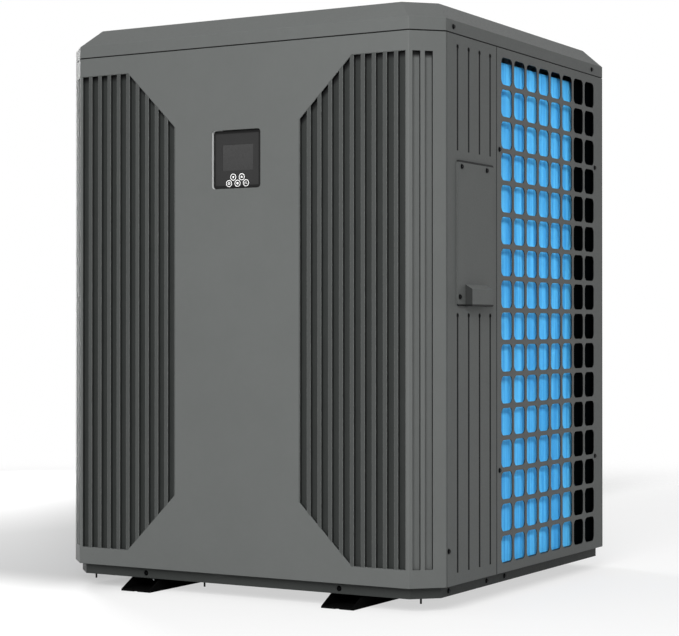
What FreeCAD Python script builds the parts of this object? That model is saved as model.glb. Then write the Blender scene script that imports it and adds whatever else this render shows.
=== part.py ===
"""Vertical top-discharge pool heat pump: one STEP file per piece.

Millimetres, +Z up. The origin is on the ground at the centre of the four foot slots. The front,
with the controller, faces -Y. The service side faces +X and the water side faces -X.
"""

import FreeCAD, Part
import math
import os
from FreeCAD import Vector

# ---- casing ----
WIDTH = 740.0              # outside width along X
DEPTH = 740.0              # outside depth along Y
HEIGHT = 974.0             # ground to lid top
CORNER = 44.2              # leg of the 45 degree vertical corners
FOLD = 3.0                 # outside radius of every fold in the casing
SHEET = 1.5                # casing sheet thickness
SEAM = 1.2                 # gap between neighbouring panels
SEAT = 0.3                 # gap where one piece rests on another
FIT = 0.05                 # gap of a close fit
LID_HEIGHT = 50.0          # upright band and bevel of the lid
LID_BAND = 20.6            # upright band alone
LID_BEVEL = 27.7           # how far the bevel leans in
FOLD_TO_SEAM = 2.5         # from a corner fold back to the seam behind it
SERVICE_SEAM = 231.0       # from the front face back to the seam of the service panel
POST_INSET = 8.0           # casing surface to the posts that carry the panels
POST_SHEET = 2.0
TURN_IN = POST_INSET - SEAT    # panel edges turn in until they rest on the posts

# ---- ground parts ----
FOOT_HEIGHT = 22.0
RAIL_SPACING = WIDTH - 340.0
RAIL_WIDTH = 60.0
RAIL_SHEET = 3.0
RAIL_OVERHANG = 8.0        # rails stand proud of the casing, front and back
RAIL_RAMP = 35.0           # slope at each rail end
RAIL_LIP = 18.0            # inward lip along the top of each rail side
RAIL_BOLT_Y = DEPTH / 2 - 72.0
FOOT_SLOT_SPACING = DEPTH - 66.0
FOOT_SLOT_LENGTH = 20.0
FOOT_SLOT_WIDTH = 10.0
PAN_INSET = 12.0
PAN_REVEAL = 18.3          # height of pan that shows under the casing
PAN_WALL = 32.0
PIN_RADIUS = 1.6
PIN_LENGTH = 8.0

# ---- front panel ----
RECESS_WIDTH = 13.3
RECESS_PITCH = 20.2
RECESS_DEPTH = 7.0
RECESS_COUNT = 10
RECESS_SIDE_MARGIN = 56.6  # casing side to the middle of the outermost recess
RECESS_TOP_MARGIN = 31.8
RECESS_BOTTOM_MARGIN = 29.3
SLANT_FROM_SIDE = 148.0    # recesses further in than this end on a 45 degree line
CORNER_RECESS_AT = (-18.1, 2.5)    # along each chamfer, from its middle, towards the back

# ---- controller ----
SCREEN_BELOW_TOP = 240.4   # lid top to the middle of the controller
HOUSING_WIDTH = 97.0
HOUSING_HEIGHT = 98.0
HOUSING_RADIUS = 6.0
HOUSING_DEPTH = 22.0
HOUSING_SUNK = 6.0         # its face lies behind the panel face
HOUSING_WALL = 2.5
HOUSING_SIDE = 1.6
HOUSING_GAP = 0.4
WINDOW_WIDTH = 60.6
WINDOW_HEIGHT = 43.6
WINDOW_ABOVE = 3.1         # window centre above housing centre
BUTTON_RADIUS = 5.85
BUTTON_GAP = 0.25
BUTTON_PROUD = 0.8
BUTTON_TRAVEL = 1.0
BUTTON_PITCH = 16.9
BUTTON_ROW_STEP = 10.4
BUTTON_ROW_BELOW = 40.0    # lower row below housing centre
BUTTONS = {                # column and row of each button
    "button_down": (-0.5, 1),
    "button_up": (0.5, 1),
    "button_power": (-1, 0),
    "button_mode": (0, 0),
    "button_timer": (1, 0),
}

# ---- service side ----
GROOVE_RADIUS = 2.0
GROOVE_PITCH = 40.3
GROOVE_FROM_FRONT = 84.5
GROOVE_COUNT = 4
GROOVE_MARGIN = 19.0       # panel edge to the groove ends
GROOVE_COVER_GAP = 15.0    # groove ends to the wiring cover
GROOVE_END_RADIUS = 3.2
COVER_FROM_FRONT = 80.0
COVER_WIDTH = 134.0
COVER_BELOW_TOP = 252.0
COVER_HEIGHT = 235.0
COVER_PROUD = 2.6
COVER_SHEET = 1.2
COVER_MARGIN = 14.0        # cover beyond the opening that it hides
HOOD_FROM_EDGE = 28.0      # cover edge to the hood
HOOD_WIDTH = 76.0
HOOD_HEIGHT = 36.0
HOOD_PROUD = 15.0
HOOD_SLOPE = 8.0

# ---- grilles ----
HOLE_WIDTH = 43.8
HOLE_HEIGHT = 46.0
HOLE_RADIUS = 10.0
HOLE_PITCH_Y = 51.5
HOLE_PITCH_Z = 53.8
HOLE_FROM_SEAM = 39.9      # seam of the grille to the middle of its first column
HOLE_FROM_TOP = 37.3
HOLE_MARGIN = 8.0          # least strip of sheet beyond the last hole

# ---- top ----
FRAME_PLATE = 2.0
FRAME_RING = 32.0          # width of the flat ring of the top frame
FRAME_UPSTAND = 20.0
THROAT_RADIUS = min(WIDTH, DEPTH) / 2 - 108.0
SHROUD_RADIUS = THROAT_RADIUS - 2.0
SHROUD_DEPTH = 58.0
SHROUD_FLANGE = 25.0
GUARD_DROP = 6.0           # lid top to the top of the guard rings
GUARD_RING_WIRE = 3.2
GUARD_SPOKE_WIRE = 4.0
GUARD_RINGS = 15
GUARD_SPOKES = 8
GUARD_HUB = 50.0
FAN_RADIUS = SHROUD_RADIUS - 7.0
FAN_HUB_RADIUS = 58.0
FAN_HUB_HEIGHT = 56.0
FAN_BLADES = 4
BLADE_THICKNESS = 3.5
SHAFT_RADIUS = 6.0
MOTOR_RADIUS = 60.0
MOTOR_HEIGHT = 98.0
MOTOR_PLATE = 130.0
BAR_WIDTH = 30.0
BAR_HEIGHT = 12.0
BAR_SPACING = 100.0

# ---- refrigeration ----
COIL_INSET = 18.0
COIL_THICKNESS = 44.0
COIL_BEND = 110.0
COIL_BEHIND_SEAM = 11.0
COIL_HEADROOM = 15.0
COIL_TUBE = 4.75
COIL_TUBE_PITCH = 25.4
REAR_POST_WIDTH = 168.0    # casing face to the free edge of the rear corner posts
PARTITION_BEHIND_SEAM = 5.0
PARTITION_HEADROOM = 7.5
COMPRESSOR_FROM_PARTITION = 114.0
COMPRESSOR_RADIUS = 72.0
COMPRESSOR_HEIGHT = 330.0
COMPRESSOR_BASE = 54.0     # ground to the underside of its base plate
COMPRESSOR_BOLT_CIRCLE = 88.0
ACCUMULATOR_RADIUS = 32.0
ACCUMULATOR_HEIGHT = 220.0
PIPE_RADIUS = 6.0
PIPE_BEND = 9.5

# ---- water side ----
EXCHANGER_FROM_SIDE = 132.0
EXCHANGER_FROM_PARTITION = 81.0
EXCHANGER_RADIUS = 72.0
EXCHANGER_HEIGHT = 600.0
UNION_Z = {"inlet": 200.0, "outlet": 330.0}
UNION_PIPE_RADIUS = 25.0   # 50 mm pipe
UNION_WALL = 5.0
UNION_NUT_RADIUS = 42.0
UNION_NUT_LENGTH = 34.0
UNION_REACH = 50.0         # casing surface to the union's mouth
SOCKET_GAP = 0.15
SOCKET_DEPTH = 26.0

# ---- fasteners ----
SCREW_HEAD = 4.6
SCREW_HEAD_HEIGHT = 2.2
SCREW_SHANK = 2.1
SCREW_HOLE = 2.4
SCREW_LENGTH = 12.5
PAN_SCREW_LENGTH = 5.0
COVER_SCREW_LENGTH = 10.0

HALF_X = WIDTH / 2
HALF_Y = DEPTH / 2
PANEL_BOTTOM = FOOT_HEIGHT + PAN_REVEAL
LID_BOTTOM = HEIGHT - LID_HEIGHT
PANEL_TOP = LID_BOTTOM - SEAM
PAN_FLOOR = FOOT_HEIGHT + SHEET
PAN_RIM = FOOT_HEIGHT + PAN_WALL
POST_BOTTOM = PAN_RIM + SEAT
FRAME_BOTTOM = PANEL_TOP - FRAME_PLATE - SHEET / 2
POST_TOP = FRAME_BOTTOM - SEAT
DECK_BOTTOM = FRAME_BOTTOM + FRAME_PLATE + SEAT
DECK_TOP = DECK_BOTTOM + SHEET
SHROUD_BOTTOM = DECK_TOP - SHROUD_DEPTH
BAR_TOP = SHROUD_BOTTOM - SEAT
MOTOR_TOP = BAR_TOP - BAR_HEIGHT - SEAT
FRONT_SEAM = -(HALF_Y - CORNER) + FOLD_TO_SEAM
SIDE_SEAM = -HALF_Y + SERVICE_SEAM
REAR_SEAM = -FRONT_SEAM
FAR = 2 * max(WIDTH, DEPTH)
RECESS_OUTER = HALF_X - RECESS_SIDE_MARGIN
RECESS_TOP = PANEL_TOP - RECESS_TOP_MARGIN
RECESS_BOTTOM = PANEL_BOTTOM + RECESS_BOTTOM_MARGIN
SLANT_START = HALF_X - SLANT_FROM_SIDE
SCREEN_Z = HEIGHT - SCREEN_BELOW_TOP
COVER_Y = (COVER_FROM_FRONT - HALF_Y, COVER_FROM_FRONT + COVER_WIDTH - HALF_Y)
COVER_Z = (HEIGHT - COVER_BELOW_TOP - COVER_HEIGHT, HEIGHT - COVER_BELOW_TOP)
HOOD_Y = (COVER_Y[0] + HOOD_FROM_EDGE, COVER_Y[0] + HOOD_FROM_EDGE + HOOD_WIDTH)
GROOVE_UPPER = (COVER_Z[1] + GROOVE_COVER_GAP, PANEL_TOP - GROOVE_MARGIN)
GROOVE_LOWER = (PANEL_BOTTOM + GROOVE_MARGIN, COVER_Z[0] - GROOVE_COVER_GAP)
FIRST_HOLE_Y = SIDE_SEAM + HOLE_FROM_SEAM
TOP_HOLE_Z = PANEL_TOP - HOLE_FROM_TOP
HOLE_ROWS = 1 + int((TOP_HOLE_Z - HOLE_HEIGHT / 2 - HOLE_MARGIN - PANEL_BOTTOM) / HOLE_PITCH_Z)
HOLE_COLUMNS = 1 + int((REAR_SEAM - HOLE_WIDTH / 2 - HOLE_MARGIN - FIRST_HOLE_Y) / HOLE_PITCH_Y)
REAR_COLUMNS = 1 + 2 * int((HALF_X - CORNER - HOLE_WIDTH / 2 - HOLE_MARGIN) / HOLE_PITCH_Y)
COIL_FRONT = SIDE_SEAM + COIL_BEHIND_SEAM
COIL_TOP = FRAME_BOTTOM - COIL_HEADROOM
COIL_BOTTOM = PAN_FLOOR + SEAT
COIL_BENDS = int((COIL_TOP - COIL_BOTTOM - COIL_TUBE_PITCH) / (2 * COIL_TUBE_PITCH))
PARTITION_Y = SIDE_SEAM + PARTITION_BEHIND_SEAM
PARTITION_TOP = BAR_TOP - BAR_HEIGHT - PARTITION_HEADROOM
COMPRESSOR_AT = (0.0, PARTITION_Y - COMPRESSOR_FROM_PARTITION)
ACCUMULATOR_AT = (COMPRESSOR_RADIUS + ACCUMULATOR_RADIUS + 14, COMPRESSOR_AT[1])
EXCHANGER_AT = (EXCHANGER_FROM_SIDE - HALF_X, PARTITION_Y - EXCHANGER_FROM_PARTITION)
MIDDLE_POST_HALF = 25.0
UNION_RING = UNION_PIPE_RADIUS + UNION_WALL
UNION_Y = SIDE_SEAM - MIDDLE_POST_HALF - UNION_RING - 2

UP = Vector(0, 0, 1)
ALONG_X = Vector(1, 0, 0)
ALONG_Y = Vector(0, 1, 0)


# ---- shape helpers ----
def box(x0, x1, y0, y1, z0, z1):
    return Part.makeBox(x1 - x0, y1 - y0, z1 - z0, Vector(x0, y0, z0))


def rod(radius, start, direction, length):
    return Part.makeCylinder(radius, length, Vector(*start), direction)


def tube(outer, inner, start, direction, length):
    return rod(outer, start, direction, length).cut(rod(inner, start, direction, length))


def join(shapes):
    shapes = list(shapes)
    return shapes[0].multiFuse(shapes[1:]).removeSplitter() if len(shapes) > 1 else shapes[0]


def group(shapes):
    return Part.makeCompound(list(shapes))


def mirror_x(shape):
    return shape.mirror(Vector(0, 0, 0), ALONG_X)


def prism(points, direction):
    wire = Part.makePolygon([Vector(*p) for p in points] + [Vector(*points[0])])
    return Part.Face(wire).extrude(direction)


def rounded_outline(points, radius):
    """Closed wire through the points, each corner an arc of the given radius."""
    points = [Vector(*p) for p in points]
    count = len(points)
    arcs = []
    for i, corner in enumerate(points):
        to_last = (points[i - 1] - corner).normalize()
        to_next = (points[(i + 1) % count] - corner).normalize()
        half = to_last.getAngle(to_next) / 2
        leg = radius / math.tan(half)
        middle = (to_last + to_next).normalize() * (radius / math.sin(half) - radius)
        arcs.append((corner + to_last * leg, corner + middle, corner + to_next * leg))
    edges = []
    for i, (start, middle, end) in enumerate(arcs):
        edges.append(Part.Arc(start, middle, end).toShape())
        edges.append(Part.LineSegment(end, arcs[(i + 1) % count][0]).toShape())
    return Part.Wire(edges)


def casing_outline(inset_x, inset_y, cut, z, radius):
    """Plan outline of the casing: a rectangle with 45 degree corners."""
    x = HALF_X - inset_x
    y = HALF_Y - inset_y
    points = [
        (x - cut, -y, z), (x, cut - y, z), (x, y - cut, z), (x - cut, y, z),
        (cut - x, y, z), (-x, y - cut, z), (-x, cut - y, z), (cut - x, -y, z),
    ]
    return rounded_outline(points, radius)


def inset_outline(inset, z):
    cut = CORNER - inset * (2 - math.sqrt(2))
    return casing_outline(inset, inset, cut, z, max(FOLD - inset, FOLD / 4))


def casing_prism(inset, z0, z1):
    return Part.Face(inset_outline(inset, z0)).extrude(UP * (z1 - z0))


def casing_ring(outer, inner, z0, z1):
    return casing_prism(outer, z0, z1).cut(casing_prism(inner, z0, z1))


def pipe(points, radius, bend):
    """Round bar along straight runs joined by arcs of one bend radius."""
    points = [Vector(*p) for p in points]
    edges = []
    start = points[0]
    for last, corner, following in zip(points, points[1:], points[2:]):
        to_last = (last - corner).normalize()
        to_next = (following - corner).normalize()
        half = to_last.getAngle(to_next) / 2
        leg = bend / math.tan(half)
        middle = (to_last + to_next).normalize() * (bend / math.sin(half) - bend)
        edges.append(Part.LineSegment(start, corner + to_last * leg).toShape())
        start = corner + to_next * leg
        edges.append(Part.Arc(corner + to_last * leg, corner + middle, start).toShape())
    edges.append(Part.LineSegment(start, points[-1]).toShape())
    circle = Part.Wire(Part.makeCircle(radius, points[0], points[1] - points[0]))
    return Part.Wire(edges).makePipeShell([circle], True, False)


# ---- fasteners ----
def screw(head, inward, length=SCREW_LENGTH):
    """Pan-head screw. head is the point where the head meets the sheet."""
    head = Vector(*head)
    outward = inward * -1
    dome = Part.makeCone(SCREW_HEAD, SCREW_HEAD * 0.6, SCREW_HEAD_HEIGHT, head + outward * FIT, outward)
    shank = Part.makeCylinder(SCREW_SHANK, length, head + outward * (FIT + 0.2), inward)
    cross = [
        Part.makeBox(4.4, 0.9, 1.4, Vector(-2.2, -0.45, -0.7)),
        Part.makeBox(0.9, 4.4, 1.4, Vector(-0.45, -2.2, -0.7)),
    ]
    drive = cross[0].fuse(cross[1])
    turn = FreeCAD.Rotation(UP, outward)
    drive.Placement = FreeCAD.Placement(head + outward * (FIT + SCREW_HEAD_HEIGHT), turn)
    return dome.fuse(shank).cut(drive).removeSplitter()


def screw_hole(head, inward, length=SCREW_LENGTH):
    head = Vector(*head)
    return Part.makeCylinder(SCREW_HOLE, length + 2, head - inward * 2, inward)


def bolt(head, downward, grip, radius, across):
    """Hex bolt with its nut, clamping the stated grip."""
    head = Vector(*head)
    upward = downward * -1

    def hexagon(base, direction, height):
        seat = Part.makeCircle(across / math.sqrt(3), base, direction)
        corners = [seat.Curve.value(i * math.pi / 3) for i in range(6)]
        return Part.Face(Part.makePolygon(corners + corners[:1])).extrude(direction * height)

    top = hexagon(head + upward * FIT, upward, radius * 1.3)
    nut = hexagon(head + downward * (grip + FIT), downward, radius * 1.6)
    shank = Part.makeCylinder(radius, grip + radius * 2.4, head + upward * FIT, downward)
    return join([top, shank, nut])


PANEL_SCREWS_RIGHT = {      # distance from the middle along Y and height
    "service": [(FRONT_SEAM + 6.5, PANEL_BOTTOM + 56.3)],
    "grille": [(y, z) for y in (SIDE_SEAM + 11, REAR_SEAM - 35.3)
               for z in (PANEL_BOTTOM + 172.7, PANEL_TOP - 171)],
}
LID_SCREWS_Y = (70 - HALF_Y, HALF_Y - 96.5)
LID_SCREW_Z = LID_BOTTOM + 10.2
REAR_SCREWS = [(x, z) for x in (82 - HALF_X, HALF_X - 82)
               for z in (PANEL_BOTTOM + 172.7, PANEL_TOP - 171)]
COVER_SCREWS = [(COVER_Y[0] + 15, COVER_Z[1] - 10), (COVER_Y[1] - 26, COVER_Z[1] - 10),
                (COVER_Y[0] + 8, COVER_Z[0] + 15)]
PAN_SCREWS_FRONT_X = (178 - HALF_X, HALF_X - 178)
PAN_SCREWS_SIDE_Y = (76 - HALF_Y, SIDE_SEAM - 15, SIDE_SEAM + 55)
PAN_SCREW_Z = FOOT_HEIGHT + 8.4


def side_points(pairs, side):
    return [(side * HALF_X, y, z) for y, z in pairs]


def side_holes(pairs, side):
    return group(screw_hole(p, ALONG_X * -side) for p in side_points(pairs, side))


def casing_screws():
    """All the identical pan-head screws of the side panels, wiring cover and pan."""
    made = []
    for side in (1, -1):
        for pairs in PANEL_SCREWS_RIGHT.values():
            made += [screw(p, ALONG_X * -side) for p in side_points(pairs, side)]
    made += [screw((x, HALF_Y, z), ALONG_Y * -1) for x, z in REAR_SCREWS]
    made += [screw((HALF_X + COVER_PROUD, y, z), ALONG_X * -1, COVER_SCREW_LENGTH)
             for y, z in COVER_SCREWS]
    made += [screw((x, PAN_INSET - HALF_Y, PAN_SCREW_Z), ALONG_Y, PAN_SCREW_LENGTH)
             for x in PAN_SCREWS_FRONT_X]
    for side in (1, -1):
        face = side * (HALF_X - PAN_INSET)
        made += [screw((face, y, PAN_SCREW_Z), ALONG_X * -side, PAN_SCREW_LENGTH)
                 for y in PAN_SCREWS_SIDE_Y]
    return group(made)


# ---- ground parts ----
def foot_rail(side):
    x0 = side * RAIL_SPACING / 2 - RAIL_WIDTH / 2
    x1 = x0 + RAIL_WIDTH
    end = HALF_Y + RAIL_OVERHANG
    top = FOOT_HEIGHT - SEAT
    web = [(0, -end, 0), (0, end, 0), (0, end, RAIL_SHEET)]
    web += [(0, end - RAIL_RAMP, top), (0, RAIL_RAMP - end, top), (0, -end, RAIL_SHEET)]
    profile = prism(web, ALONG_X * RAIL_WIDTH)
    profile.translate(Vector(x0, 0, 0))
    hollow = box(x0 + RAIL_SHEET, x1 - RAIL_SHEET, -FAR, FAR, RAIL_SHEET, top - RAIL_SHEET)
    mouth = box(x0 + RAIL_LIP, x1 - RAIL_LIP, -FAR, FAR, RAIL_SHEET, FAR)
    front_lips = [box(x0 + RAIL_SHEET, x1 - RAIL_SHEET, *ends, RAIL_SHEET, FAR)
                  for ends in ((-FAR, RAIL_RAMP - end), (end - RAIL_RAMP, FAR))]
    rail = profile.cut(hollow).cut(mouth).cut(group(front_lips))
    middle = (x0 + x1) / 2
    for way in (1, -1):
        y = way * FOOT_SLOT_SPACING / 2
        reach = (FOOT_SLOT_LENGTH - FOOT_SLOT_WIDTH) / 2
        radius = FOOT_SLOT_WIDTH / 2
        slot = box(middle - reach, middle + reach, y - radius, y + radius, -1, RAIL_SHEET + 1)
        ends = [rod(radius, (middle + k * reach, y, -1), UP, RAIL_SHEET + 2) for k in (1, -1)]
        notch = rod(4, (middle, way * end, -1), UP, RAIL_SHEET + 2)
        rail = rail.cut(join([slot] + ends)).cut(notch)
    return rail.cut(group(rod(4.5, (x, y, 0), UP, FAR).common(box(x0, x1, -FAR, FAR, RAIL_SHEET + 1, FAR))
                          for x, y in rail_bolt_points(side)))


def rail_bolt_points(side):
    x = side * (RAIL_SPACING / 2 + RAIL_WIDTH / 2 - RAIL_LIP / 2 - 2.5)
    return [(x, y) for y in (-RAIL_BOLT_Y, 0, RAIL_BOLT_Y)]


COMPRESSOR_BOLTS = [
    (COMPRESSOR_AT[0] + COMPRESSOR_BOLT_CIRCLE * math.cos(math.radians(angle)),
     COMPRESSOR_AT[1] + COMPRESSOR_BOLT_CIRCLE * math.sin(math.radians(angle)))
    for angle in (90, 210, 330)
]
DRAIN_X = 60.0
DRAIN_RADIUS = 6.5
DRAIN_LENGTH = 18.0
DRAIN_Z = FOOT_HEIGHT + PAN_REVEAL / 2


def base_pan():
    tray = join([
        casing_prism(PAN_INSET, FOOT_HEIGHT, PAN_RIM),
        casing_prism(SHEET + SEAT, PAN_RIM - SHEET, PAN_RIM),
    ]).cut(casing_prism(PAN_INSET + SHEET, PAN_FLOOR, PAN_RIM + 1))
    holes = [rod(4.5, (x, y, 0), UP, 40) for side in (-1, 1) for x, y in rail_bolt_points(side)]
    holes += [rod(4.5, (x, y, 0), UP, 40) for x, y in COMPRESSOR_BOLTS]
    holes += [screw_hole((x, PAN_INSET - HALF_Y, PAN_SCREW_Z), ALONG_Y) for x in PAN_SCREWS_FRONT_X]
    for side in (1, -1):
        face = side * (HALF_X - PAN_INSET)
        holes += [screw_hole((face, y, PAN_SCREW_Z), ALONG_X * -side) for y in PAN_SCREWS_SIDE_Y]
    holes.append(rod(DRAIN_RADIUS, (DRAIN_X, HALF_Y - 30, DRAIN_Z), ALONG_Y, 40))
    return tray.cut(group(holes))


PIN_POINTS = [(65 - HALF_X, 20 - HALF_Y), (-76.0, 20 - HALF_Y), (HALF_X - 37, 28 - HALF_Y)]


def pan_pins():
    bottom = FOOT_HEIGHT - PIN_LENGTH - FIT
    return group(rod(PIN_RADIUS, (x, y, bottom), UP, PIN_LENGTH) for x, y in PIN_POINTS)


def drain_spigot():
    wall = HALF_Y - PAN_INSET
    body = rod(DRAIN_RADIUS - FIT, (DRAIN_X, wall - SHEET, DRAIN_Z), ALONG_Y, DRAIN_LENGTH + SHEET)
    flange = rod(DRAIN_RADIUS + 2, (DRAIN_X, wall + FIT, DRAIN_Z), ALONG_Y, 2)
    bore = rod(DRAIN_RADIUS - 2, (DRAIN_X, wall - 20, DRAIN_Z), ALONG_Y, 60)
    return join([body, flange]).cut(bore)


# ---- posts and frames ----
FRONT_POST_Y = FRONT_SEAM + 3
FRONT_POST_WIDTH = 34.0


def post_front():
    x1 = HALF_X - POST_INSET
    y1 = FRONT_POST_Y + FRONT_POST_WIDTH
    flange = box(x1 - POST_SHEET, x1, FRONT_POST_Y, y1, POST_BOTTOM, POST_TOP)
    leg = box(x1 - 32, x1, y1 - POST_SHEET, y1, POST_BOTTOM, POST_TOP)
    return join([flange, leg]).cut(side_holes(PANEL_SCREWS_RIGHT["service"], 1))


def post_middle():
    x1 = HALF_X - POST_INSET
    y0 = SIDE_SEAM - MIDDLE_POST_HALF
    flange = box(x1 - POST_SHEET, x1, y0, SIDE_SEAM + MIDDLE_POST_HALF, POST_BOTTOM, POST_TOP)
    leg = box(x1 - 22, x1, y0, y0 + POST_SHEET, POST_BOTTOM, POST_TOP)
    return join([flange, leg]).cut(side_holes(PANEL_SCREWS_RIGHT["grille"], 1))


def post_rear():
    wrap = casing_ring(POST_INSET, POST_INSET + SHEET, POST_BOTTOM, POST_TOP)
    corner = wrap.common(box(HALF_X - REAR_POST_WIDTH, FAR, HALF_Y - REAR_POST_WIDTH, FAR, 0, FAR))
    holes = side_holes(PANEL_SCREWS_RIGHT["grille"], 1)
    rear = group(screw_hole((x, HALF_Y, z), ALONG_Y * -1) for x, z in REAR_SCREWS)
    return corner.cut(holes).cut(rear)


def lid_screw_points():
    return [(side * HALF_X, y, LID_SCREW_Z) for side in (1, -1) for y in LID_SCREWS_Y]


def lid_screw_holes():
    return group(screw_hole(p, ALONG_X * (-1 if p[0] > 0 else 1)) for p in lid_screw_points())


def top_frame():
    ring = casing_ring(POST_INSET, POST_INSET + FRAME_RING, FRAME_BOTTOM, FRAME_BOTTOM + FRAME_PLATE)
    upstand = casing_ring(POST_INSET, POST_INSET + SHEET, FRAME_BOTTOM, FRAME_BOTTOM + FRAME_UPSTAND)
    return join([ring, upstand]).cut(lid_screw_holes())


# ---- casing panels ----
def tray_panel(keep):
    """A stretch of the casing wall with its top and bottom edges turned in."""
    wall = casing_ring(0, SHEET, PANEL_BOTTOM, PANEL_TOP)
    top = casing_ring(SHEET / 2, TURN_IN, PANEL_TOP - SHEET, PANEL_TOP)
    bottom = casing_ring(SHEET / 2, PAN_INSET - SEAT, PANEL_BOTTOM, PANEL_BOTTOM + SHEET)
    return join([wall, top, bottom]).common(keep)


def edge_turn(side, seam, way):
    """Upright edge of a panel turned in at a seam. way is +1 where the panel lies behind it."""
    y = seam + way * SEAM / 2
    xs = sorted((side * (HALF_X - SHEET / 2), side * (HALF_X - TURN_IN)))
    ys = sorted((y, y + way * SHEET))
    return box(xs[0], xs[1], ys[0], ys[1], POST_BOTTOM, PANEL_TOP)


def recess_end(x, z, grow):
    """Height of a recess end at distance x from the middle, with the wall grown by grow."""
    slant = max(SLANT_START - abs(x), 0)
    lean = math.sqrt(2) if slant else 1
    way = 1 if z == RECESS_TOP else -1
    return z - way * slant + way * grow * lean


def recess_block(x0, x1, y0, y1, grow):
    points = [
        (x0, y0, recess_end(x0, RECESS_BOTTOM, grow)),
        (x1, y0, recess_end(x1, RECESS_BOTTOM, grow)),
        (x1, y0, recess_end(x1, RECESS_TOP, grow)),
        (x0, y0, recess_end(x0, RECESS_TOP, grow)),
    ]
    return prism(points, ALONG_Y * (y1 - y0))


def front_recesses(grow):
    """The pressed recesses of the front face and its two chamfers, grown by the sheet or not."""
    made = []
    reach = RECESS_DEPTH + grow
    for side in (1, -1):
        for i in range(RECESS_COUNT):
            middle = side * (RECESS_OUTER - i * RECESS_PITCH)
            half = RECESS_WIDTH / 2 + grow
            made.append(recess_block(middle - half, middle + half, grow / 2 - HALF_Y - (0 if grow else 1),
                                     reach - HALF_Y, grow))
    for along in CORNER_RECESS_AT:
        half = RECESS_WIDTH / 2 + grow
        block = box(along - half, along + half, grow / 2 - (0 if grow else 1), reach,
                    RECESS_BOTTOM - grow, RECESS_TOP + grow)
        block.rotate(Vector(0, 0, 0), UP, 45)
        block.translate(Vector(HALF_X - CORNER / 2, CORNER / 2 - HALF_Y, 0))
        made += [block, mirror_x(block)]
    return made


def screen_block(gap, y0, y1):
    x = HOUSING_WIDTH / 2 - gap
    z = HOUSING_HEIGHT / 2 - gap
    points = [(-x, y0, SCREEN_Z - z), (x, y0, SCREEN_Z - z), (x, y0, SCREEN_Z + z), (-x, y0, SCREEN_Z + z)]
    return Part.Face(rounded_outline(points, HOUSING_RADIUS - gap)).extrude(ALONG_Y * (y1 - y0))


def front_panel():
    keep = box(-FAR, FAR, -FAR, FRONT_SEAM - SEAM / 2, 0, FAR)
    turns = [edge_turn(side, FRONT_SEAM, -1) for side in (1, -1)]
    lip = screen_block(-SHEET, SHEET / 2 - HALF_Y, 8 - HALF_Y)
    panel = join([tray_panel(keep), lip] + turns + front_recesses(SHEET))
    return panel.cut(group(front_recesses(0))).cut(screen_block(0, -FAR, 0))


def side_panel_blank(side, start, end):
    keep = box(*sorted((0, side * FAR)), start + SEAM / 2, end - SEAM / 2, 0, FAR)
    return join([tray_panel(keep), edge_turn(side, start, 1), edge_turn(side, end, -1)])


def groove_positions():
    return [GROOVE_FROM_FRONT - HALF_Y + i * GROOVE_PITCH for i in range(GROOVE_COUNT)]


def grooves(side, spans):
    """Backing strips and the grooves to cut, pressed into the upright side sheets."""
    strips = []
    cuts = []
    face = side * HALF_X
    for y in groove_positions():
        for z0, z1 in spans:
            xs = sorted((face - side * SHEET / 2, face - side * (SHEET + GROOVE_RADIUS)))
            wide = GROOVE_END_RADIUS + SHEET
            strips.append(box(xs[0], xs[1], y - wide, y + wide, z0 - wide, z1 + wide))
            cuts.append(rod(GROOVE_RADIUS, (face, y, z0), UP, z1 - z0))
            cuts.append(rod(GROOVE_END_RADIUS, (face + side, y, z1), ALONG_X * -side, GROOVE_RADIUS + 1))
    return strips, cuts


def cover_opening():
    return box(0, FAR, COVER_Y[0] + COVER_MARGIN, COVER_Y[1] - COVER_MARGIN,
               COVER_Z[0] + HOOD_HEIGHT / 2, COVER_Z[1] - 2 * COVER_MARGIN)


def service_panel():
    strips, cuts = grooves(1, (GROOVE_UPPER, GROOVE_LOWER))
    blank = join([side_panel_blank(1, FRONT_SEAM, SIDE_SEAM)] + strips)
    holes = [screw_hole((HALF_X, y, z), ALONG_X * -1) for y, z in COVER_SCREWS]
    panel = blank.cut(group(cuts + holes)).cut(cover_opening())
    return panel.cut(side_holes(PANEL_SCREWS_RIGHT["service"], 1))


def water_panel():
    strips, cuts = grooves(-1, ((COVER_Z[0], GROOVE_UPPER[1]),))
    blank = join([side_panel_blank(-1, FRONT_SEAM, SIDE_SEAM)] + strips)
    ports = [rod(UNION_RING + 1, (-FAR, UNION_Y, z), ALONG_X, FAR) for z in UNION_Z.values()]
    return blank.cut(group(cuts + ports)).cut(side_holes(PANEL_SCREWS_RIGHT["service"], -1))


def grille_holes(centres, normal):
    """Rounded square holes through a panel whose outward normal is given."""
    w = HOLE_WIDTH / 2
    h = HOLE_HEIGHT / 2
    made = []
    for c in centres:
        for row in range(HOLE_ROWS):
            z = TOP_HOLE_Z - row * HOLE_PITCH_Z
            if normal.x:
                x = normal.x * (HALF_X - TURN_IN + 2)
                points = [(x, c - w, z - h), (x, c + w, z - h), (x, c + w, z + h), (x, c - w, z + h)]
            else:
                y = normal.y * (HALF_Y - TURN_IN + 2)
                points = [(c - w, y, z - h), (c + w, y, z - h), (c + w, y, z + h), (c - w, y, z + h)]
            made.append(Part.Face(rounded_outline(points, HOLE_RADIUS)).extrude(normal * 20))
    return group(made)


def grille_panel():
    centres = [FIRST_HOLE_Y + i * HOLE_PITCH_Y for i in range(HOLE_COLUMNS)]
    blank = side_panel_blank(1, SIDE_SEAM, REAR_SEAM)
    return blank.cut(grille_holes(centres, ALONG_X)).cut(side_holes(PANEL_SCREWS_RIGHT["grille"], 1))


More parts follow.
